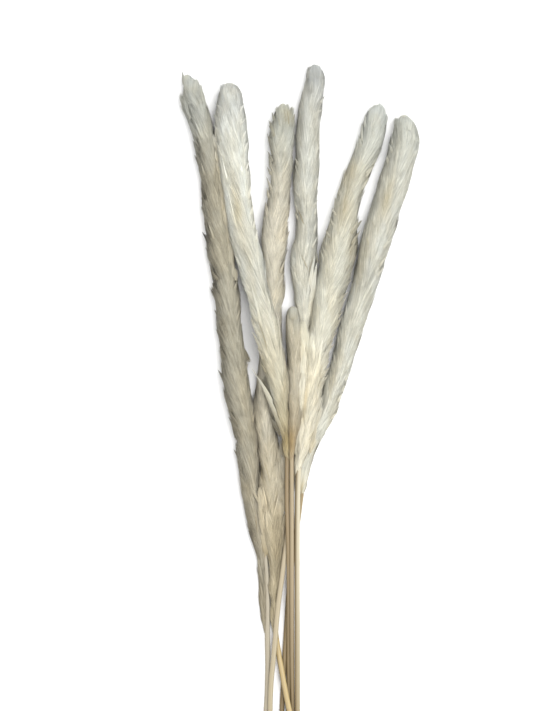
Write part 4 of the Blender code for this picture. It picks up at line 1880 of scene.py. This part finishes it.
def plumes() -> list[Plume]:
    """The seven plumes, with their tufts, hollows and patches of own tone, painted shade and painted light
    where the photograph shows them.

    Returns:
        The plumes, from the far left to the short one in the middle.
    """
    # Darker tufts, mostly along the plumes' left edges: partly the down's own greyer tone, partly painted
    # shade where they lie turned from the light
    grey = TuftStyle(4.8, tone=-1.8, warmth=0.0)
    dark = TuftStyle(5.4, tone=-2.2, warmth=0.1)
    soft = TuftStyle(5.0, tone=-1.2)
    pale = TuftStyle(2.4, tone=0.7, warmth=0.0, lift=1.0)
    # Thin dark tufts that paint the shadow lines under tufts: painted shadow
    line = TuftStyle(1.6, tone=-2.4, warmth=0.4)
    crest = TuftStyle(6.0, tone=-0.3, warmth=0.0, form=TuftForm.LOBE)
    lobe = TuftStyle(6.5, tone=-1.0, form=TuftForm.LOBE)
    mat = TuftStyle(4.2, tone=0.0, warmth=0.0, lift=-1.0, form=TuftForm.MAT, density=8.0)
    # Darker patches on the left flanks and beside higher plumes are painted shade and painted shadow, some
    # lighter ones are painted light; warmth and the rest of the tone are the down's own colour
    return [
        Plume(
            1,
            DownFinish(crown=(0.464, 0.48, 0.448), middle=(0.4, 0.38, 0.308), foot=(0.368, 0.336, 0.26)),
            parting=35.0, lean=12.0, shag=0.0024, swell=0.0010,
            tufts=(
                *Tuft.row(TuftStyle(4.5, tone=-0.5, warmth=0.0), (187, 92, 181.5, 70), (185, 86, 182, 72)),
                *Tuft.row(crest, (191, 94, 192, 77), (196, 96, 197.5, 78.5), (199, 99, 201, 84)),
                *Tuft.row(TuftStyle(5.5, tone=-0.8, warmth=0.0, form=TuftForm.LOBE), (188, 114, 179.5, 92),
                          (190, 120, 181, 104)),
                *Tuft.row(grey, (194, 134, 185, 115), (196, 139, 188, 120), (200, 155, 192.5, 140),
                          (204, 174, 194, 154), (206, 188, 198, 167), (216, 266, 205, 247)),
                *Tuft.row(pale, (202, 139, 194, 120), (206, 180, 201, 162), (214, 240, 208, 222),
                          (262, 522, 247, 455), (258, 500, 243, 450)),
                *Tuft.row(dark, (209, 207, 200.5, 187), (210, 216, 201, 197), (211, 225, 201, 206),
                          (213, 252, 202, 232), (259, 553, 248, 530), (261, 562, 252, 541)),
                *Tuft.row(soft, (223, 326, 214, 309), (226, 348, 215.5, 328), (229, 390, 217.5, 369),
                          (233, 407, 223.5, 389), (239, 433, 228, 416), (244, 467, 233.5, 449),
                          (248, 493, 238.5, 473), (249, 363, 243, 346)),
                *Tuft.row(lobe, (221, 307, 210.5, 286), (252, 510, 243.5, 487)),
                *Tuft.row(TuftStyle(2.6, tone=0.6, warmth=0.0), (264, 622, 260.5, 594),
                          (264, 608, 259.5, 579), (263.5, 590, 258.8, 562), (263, 575, 258.8, 550)),
                *Tuft.row(TuftStyle(7.0, tone=-1.8, lift=-1.0, form=TuftForm.LOBE),
                          (258, 549, 248.5, 513), (256, 542, 247.5, 510)),
                *Tuft.row(line, (258, 540, 255, 500), (250, 470, 244, 440)),
            ),
            fringes=(
                Fringe(Side.LEFT, (262, 125), 22, -0.6, 14.0, TuftStyle(3.4, tone=-1.8, warmth=0.0)),
                Fringe(Side.LEFT, (480, 262), 20, -0.6, 16.0, TuftStyle(3.8, tone=-1.4)),
                Fringe(Side.RIGHT, (420, 262), 12, 1.6, 14.0, TuftStyle(2.8, tone=-0.6)),
            ),
            thatches=(
                Thatch((234, 284, 217, 140), 2.4, 60, (0.75, 0.85), 14.0, replace(mat, tone=0.4)),
            ),
            dents=Dent.rows(
                (189, 113, 4.5, 6), (195, 158, 2.6, 30), (201, 192, 2.4, 8), (203, 221, 2.6, 8),
                (205, 233, 3.0, 5), (211, 272, 4.2, 10), (213, 306, 3.4, 9), (219, 365, 3.2, 7),
                (224, 391, 1.8, 6), (233, 432, 4.0, 13), (240, 485, 3.6, 7), (243, 505, 3.2, 5),
                (253, 549, 3.2, 13), (263, 622, 2.0, 8),
            ),
            patches=Patch.rows(
                (199, 150, 20, 5.0, -2.2), (205, 196, 22, 6.5, -2.6), (207, 238, 18, 6.0, -2.8),
                (213, 285, 26, 6.0, -2.8), (221, 338, 28, 6.5, -2.8), (226, 388, 24, 6.0, -2.4),
                (234, 430, 18, 5.0, -2.2), (240, 462, 16, 5.0, -1.6), (216, 160, 28, 4.0, 0.6, 0.2),
                (224, 218, 26, 4.0, 0.4, 0.2), (236, 300, 40, 5.0, 1.0), (186, 95, 14, 4.0, -0.5),
                (251, 528, 18, 4.5, -2.4, 0.3), (259, 520, 26, 4.5, 2.4, 0.1), (263, 590, 30, 1.6, -2.4),
                (244, 400, 30, 5.0, 0.6, 0.3), (249, 490, 10, 4.0, -0.8, 0.2),
            ),
        ),
        Plume(
            2,
            DownFinish(crown=(0.536, 0.552, 0.532), middle=(0.64, 0.656, 0.612), foot=(0.528, 0.48, 0.336)),
            parting=40.0, lean=13.0, shag=0.0018, swell=0.0010,
            tufts=(
                *Tuft.row(crest, (224, 98, 222, 83.5), (229, 97, 229, 82.5), (234, 98, 236, 84.5)),
                *Tuft.row(TuftStyle(3.8, tone=-1.0), (221, 133, 213.5, 114), (222, 126, 215.5, 109),
                          (224, 143, 216, 124)),
                *Tuft.row(TuftStyle(4.0, tone=-0.3), (258, 335, 250, 317), (262, 351, 252, 332),
                          (253, 302, 245, 287)),
                *Tuft.row(TuftStyle(4.4, tone=-0.2, warmth=0.1, fill=0.5, shift=0.15), (287, 446, 262, 386),
                          (285, 440, 266, 392)),
                *Tuft.row(TuftStyle(3.2, tone=0.2, warmth=0.0, fill=0.6, shift=0.2),
                          (278, 418, 251, 366.5), (272, 402, 255, 373)),
                *Tuft.row(pale, (232, 200, 222, 158), (240, 240, 228, 190), (262, 330, 250, 280)),
                *Tuft.row(line, (268, 352, 257, 318)),
            ),
            fringes=(
                Fringe(Side.LEFT, (150, 100), 7, 1.8, 12.0, TuftStyle(2.8, tone=-0.8)),
                Fringe(Side.RIGHT, (240, 100), 10, 0.6, 12.0, TuftStyle(2.6, tone=-0.3)),
                Fringe(Side.LEFT, (360, 250), 10, 1.2, 14.0, TuftStyle(3.0, tone=-0.5)),
            ),
            thatches=(
                # Locks under plume 2's lower left edge, darkened as painted shade
                Thatch((284, 440, 268, 390), 3.5, 50, (0.2, 0.1), 18.0,
                       replace(mat, tone=-1.4, warmth=0.1, lift=-3.0, shift=0.2)),
            ),
            dents=Dent.rows((248, 130, 1.2, 40)),
            patches=Patch.rows(
                (228, 88, 9, 14.0, -0.6), (236, 205, 26, 5.0, -0.4, 0.7), (222, 190, 44, 5.0, 1.6),
                (262, 372, 24, 5.0, -1.6, 0.4), (284, 430, 14, 6.0, -1.4, 0.2),
                (248, 262, 30, 7.0, -1.3, 0.3), (286, 440, 16, 5.0, -0.6, 0.7), (247, 180, 60, 5.0, 1.1),
                (219, 112, 14, 4.0, -0.8),
            ),
        ),
        Plume(
            3,
            DownFinish(crown=(0.464, 0.48, 0.44), middle=(0.544, 0.52, 0.44), foot=(0.448, 0.392, 0.272)),
            lean=15.0, shag=0.0026, swell=0.0012,
            tufts=(
                *Tuft.row(crest, (280, 122, 277, 106), (284, 121, 281, 106.5), (287, 124, 288, 102.5),
                          (289, 122, 292.5, 106)),
                # Thin dark tufts: painted shadow lines under tufts and between lobes
                *Tuft.row(TuftStyle(1.4, tone=-1.5, warmth=0.4), (285, 124, 284, 110), (289, 128, 287, 112),
                          (280, 128, 277, 116), (270, 482, 262, 458), (262, 486, 261, 462),
                          (273, 575, 268, 552)),
                *Tuft.row(TuftStyle(3.4, tone=-1.2, warmth=0.3), (274, 138, 268.5, 120), (272, 150, 267, 132),
                          (285, 202, 289.5, 186), (291, 128, 295, 113)),
                *Tuft.row(pale, (266, 460, 277, 437), (258, 470, 255, 446), (268, 545, 266, 500),
                          (270, 540, 280, 490), (266, 505, 258, 470)),
                *Tuft.row(TuftStyle(1.4, tone=-1.0), (268, 554, 272.5, 545)),
            ),
            thatches=(
                Thatch((282, 562, 283, 456), 3.5, 44, (0.5, 0.5), 20.0, replace(mat, tone=-0.4)),
                Thatch((266, 558, 261, 500), 2.6, 60, (0.5, 0.6), 14.0, replace(mat, width=3.0, tone=0.4)),
            ),
            dents=Dent.rows((267, 172, 3.2, 42)),
            fringes=(
                Fringe(Side.LEFT, (180, 112), 10, 2.0, 12.0, TuftStyle(2.8, tone=-1.2)),
                Fringe(Side.RIGHT, (300, 112), 20, 1.7, 12.0, TuftStyle(2.6, tone=-0.9)),
                Fringe(Side.LEFT, (300, 180), 10, 0.8, 13.0, TuftStyle(2.6, tone=-0.6)),
            ),
            patches=Patch.rows(
                (288, 116, 10, 5.0, -0.8, 0.5), (271, 135, 24, 3.5, -1.0), (261, 468, 10, 2.6, -3.0, 0.3),
                (277, 430, 18, 4.5, -2.4, 0.4), (284, 480, 24, 3.0, -1.2), (268, 556, 10, 2.0, -1.2, 0.3),
                (278, 560, 60, 4.5, -1.5, 0.2), (252, 414, 14, 3.0, -2.4, 0.6),
                (276, 260, 40, 8.0, 0.6, 0.1), (267, 520, 36, 5.0, 1.6),
            ),
        ),
        Plume(
            4,
            DownFinish(crown=(0.448, 0.464, 0.456), middle=(0.56, 0.568, 0.52), foot=(0.672, 0.656, 0.56)),
            lean=9.0, shag=0.0018,
            tufts=(
                *Tuft.row(crest, (309, 80, 309, 65.5), (314, 80, 314, 64), (318, 80, 319.5, 65.5)),
                # Thin dark tufts: painted shadow lines under tufts
                *Tuft.row(TuftStyle(1.6, tone=-1.6, warmth=0.4), (304, 226, 297.5, 208), (308, 270, 299, 252),
                          (309, 272, 315, 253)),
                *Tuft.row(TuftStyle(2.2, tone=-1.6), (318, 264, 316, 250), (321, 264, 319, 249),
                          (325, 264, 322.5, 251)),
                *Tuft.row(TuftStyle(2.0, tone=0.8), (303, 339, 312, 328), (309, 339, 303.5, 326)),
                *Tuft.row(soft, (297, 275, 290.5, 261), (299, 290, 292.5, 274)),
                *Tuft.row(TuftStyle(7.0, tone=0.3, lift=2.0, fill=0.9),
                          (310, 318, 317, 262), (309, 300, 315, 256)),
            ),
            fringes=(
                Fringe(Side.LEFT, (330, 240), 8, 1.4, 12.0, TuftStyle(2.8, tone=-0.5)),
                Fringe(Side.RIGHT, (240, 90), 12, 1.0, 12.0, TuftStyle(2.4, tone=-0.4)),
                Fringe(Side.LEFT, (230, 90), 12, 1.0, 12.0, TuftStyle(2.4, tone=-0.5)),
            ),
            patches=Patch.rows(
                (299, 150, 50, 3.0, -0.8, 0.2), (300, 216, 10, 2.5, -1.2, 0.3), (312, 75, 10, 14.0, -0.4),
                (304, 262, 16, 6.0, -0.4), (305, 330, 24, 8.0, 1.0),
            ),
        ),
        Plume(
            5,
            DownFinish(crown=(0.496, 0.52, 0.496), middle=(0.552, 0.552, 0.484), foot=(0.664, 0.632, 0.52)),
            parting=-10.0, lean=12.0, shag=0.0030, swell=0.0012,
            tufts=(
                *Tuft.row(crest, (370, 124, 371, 107), (374, 123, 375, 106), (377, 121, 380, 102.5),
                          (380, 122, 384, 105), (382, 127, 387, 113)),
                *Tuft.row(TuftStyle(1.4, tone=-1.2), (376, 120, 376.5, 108)),
                *Tuft.row(dark, (351, 235, 362.5, 219.5), (337, 301, 347.5, 285)),
                *Tuft.row(TuftStyle(4.2, tone=-1.5, warmth=0.2), (348, 260, 358, 244), (346, 272, 357, 255),
                          (342, 285, 353, 267), (335, 299, 343.5, 284), (334, 319, 344, 303),
                          (332, 333, 342, 317), (326, 346, 335, 330), (321, 363, 330, 346),
                          (320, 377, 329, 360), (318, 391, 326, 373)),
                *Tuft.row(pale, (318, 300, 326, 262), (330, 320, 340, 280), (316, 380, 324, 330)),
            ),
            thatches=(
                Thatch((303, 420, 308, 346), 8.0, 100, (0.8, 0.4), 26.0, replace(mat, tone=0.9, lift=-1.5)),
                Thatch((297.5, 456, 301, 400), 3.0, 44, (0.5, 0.8), 24.0, replace(mat, tone=0.3)),
                Thatch((306, 454, 313, 420), 4.0, 34, (0.3, 0.5), 24.0, replace(mat, tone=0.2)),
            ),
            dents=Dent.rows((331, 214, 2.2, 14), (368, 176, 1.5, 12)),
            fringes=(
                Fringe(Side.RIGHT, (180, 108), 12, 1.4, 11.0, TuftStyle(2.6, tone=-0.7)),
                Fringe(Side.RIGHT, (390, 215), 24, 3.0, 14.0, TuftStyle(3.2, tone=-1.2, warmth=0.2)),
                Fringe(Side.LEFT, (260, 112), 18, 1.4, 12.0, TuftStyle(2.6, tone=-0.7)),
            ),
            patches=Patch.rows(
                (329, 240, 12, 4.0, -1.8, 0.2), (342, 214, 20, 6.0, -0.6, 0.6),
                (352, 173, 16, 5.0, -0.4, 0.4), (350, 262, 26, 5.0, -1.2, 0.2),
                (306, 395, 14, 2.0, -0.3, 0.7), (304, 414, 9, 2.0, -0.3, 0.7), (318, 310, 60, 10.0, 0.9),
                (305, 345, 26, 7.0, 0.8),
            ),
        ),
        Plume(
            6,
            DownFinish(crown=(0.512, 0.528, 0.488), middle=(0.536, 0.544, 0.496), foot=(0.656, 0.656, 0.584)),
            lean=8.0, shag=0.0018,
            tufts=(
                *Tuft.row(crest, (397, 130, 396, 117), (401, 129, 401.5, 115.5), (405, 130, 407, 117),
                          (409, 133, 411.5, 120)),
                *Tuft.row(TuftStyle(3.0, tone=-0.3, warmth=0.0), (301, 500, 306, 478)),
                *Tuft.row(TuftStyle(2.6, tone=-1.2, warmth=0.3), (374, 232, 370, 216), (368, 246, 364, 232)),
            ),
            fringes=(
                Fringe(Side.LEFT, (390, 130), 22, 1.2, 12.0, TuftStyle(2.6, tone=-0.7)),
                Fringe(Side.RIGHT, (430, 140), 20, 1.0, 13.0, TuftStyle(2.6, tone=-0.4)),
            ),
            thatches=(Thatch((300.5, 496, 305.5, 448), 2.2, 36, (1.8, 1.5), 22.0, replace(mat, tone=-0.4)),),
            dents=Dent.rows((384, 261, 1.6, 24), (335, 408, 1.8, 20), (317, 441, 1.0, 8)),
            patches=Patch.rows(
                (397, 145, 18, 5.0, -1.3, 0.3), (388, 195, 26, 5.0, -0.2, 0.6),
                (301.5, 490, 8, 1.6, -0.8, 0.8), (362, 260, 26, 4.0, -0.8, 0.4), (404, 118, 5, 12.0, -0.6),
                (335, 370, 40, 4.0, -0.4, 0.4),
            ),
        ),
        Plume(
            7,
            DownFinish(crown=(0.456, 0.456, 0.4), middle=(0.48, 0.452, 0.368), foot=(0.4, 0.336, 0.228)),
            lock_length=0.028,
            tufts=(
                *Tuft.row(crest, (292, 321, 290.5, 306), (294, 321, 295, 307)),
                *Tuft.row(TuftStyle(2.2, tone=0.8, warmth=0.0), (291, 379, 287, 366)),
            ),
            thatches=(
                Thatch((295, 442, 299, 338), 3.5, 60, (0.4, 0.5), 22.0, replace(mat, tone=-0.6, shift=0.05)),
            ),
            patches=Patch.rows((291, 440, 12, 4.0, -1.0, 1.0), (290, 345, 30, 3.0, -0.5, 0.2)),
        ),
    ]


def stems() -> list[Stem]:
    """The seven bare stalks, with their straw colours and the painted shade on their sides.

    Returns:
        The stems, each with the number of its plume.
    """
    return [
        Stem(1, StrawFinish(
            straw=(0.435, 0.402, 0.315), foot=(0.41, 0.372, 0.288), flank=-65.0, foot_strength=1.0)),
        Stem(2, StrawFinish(straw=(0.288, 0.222, 0.13), foot=(0.18, 0.132, 0.062))),
        Stem(3, StrawFinish(
            straw=(0.48, 0.375, 0.19), foot=(0.465, 0.36, 0.175), flank=-90.0, flank_strength=0.8)),
        Stem(4, StrawFinish(
            straw=(0.48, 0.416, 0.296), foot=(0.432, 0.376, 0.256), flank=-85.0, flank_strength=0.5)),
        Stem(5, StrawFinish(
            straw=(0.56, 0.51, 0.376), foot=(0.325, 0.268, 0.158), flank=-55.0, flank_reach=1.15,
            flank_strength=0.85, foot_strength=1.0)),
        Stem(6, StrawFinish(straw=(0.288, 0.224, 0.12), foot=(0.184, 0.132, 0.064))),
        Stem(7, StrawFinish(
            straw=(0.39, 0.322, 0.208), foot=(0.21, 0.156, 0.08), flank=75.0, flank_strength=0.85)),
    ]


def main() -> None:
    """Build the seven stalks and the studio."""
    logging.basicConfig(level=logging.INFO, format="%(message)s")
    for plume in plumes():
        plume.build()
    for stem in stems():
        stem.build()
    Studio().build()


if __name__ == "__main__":
    main()
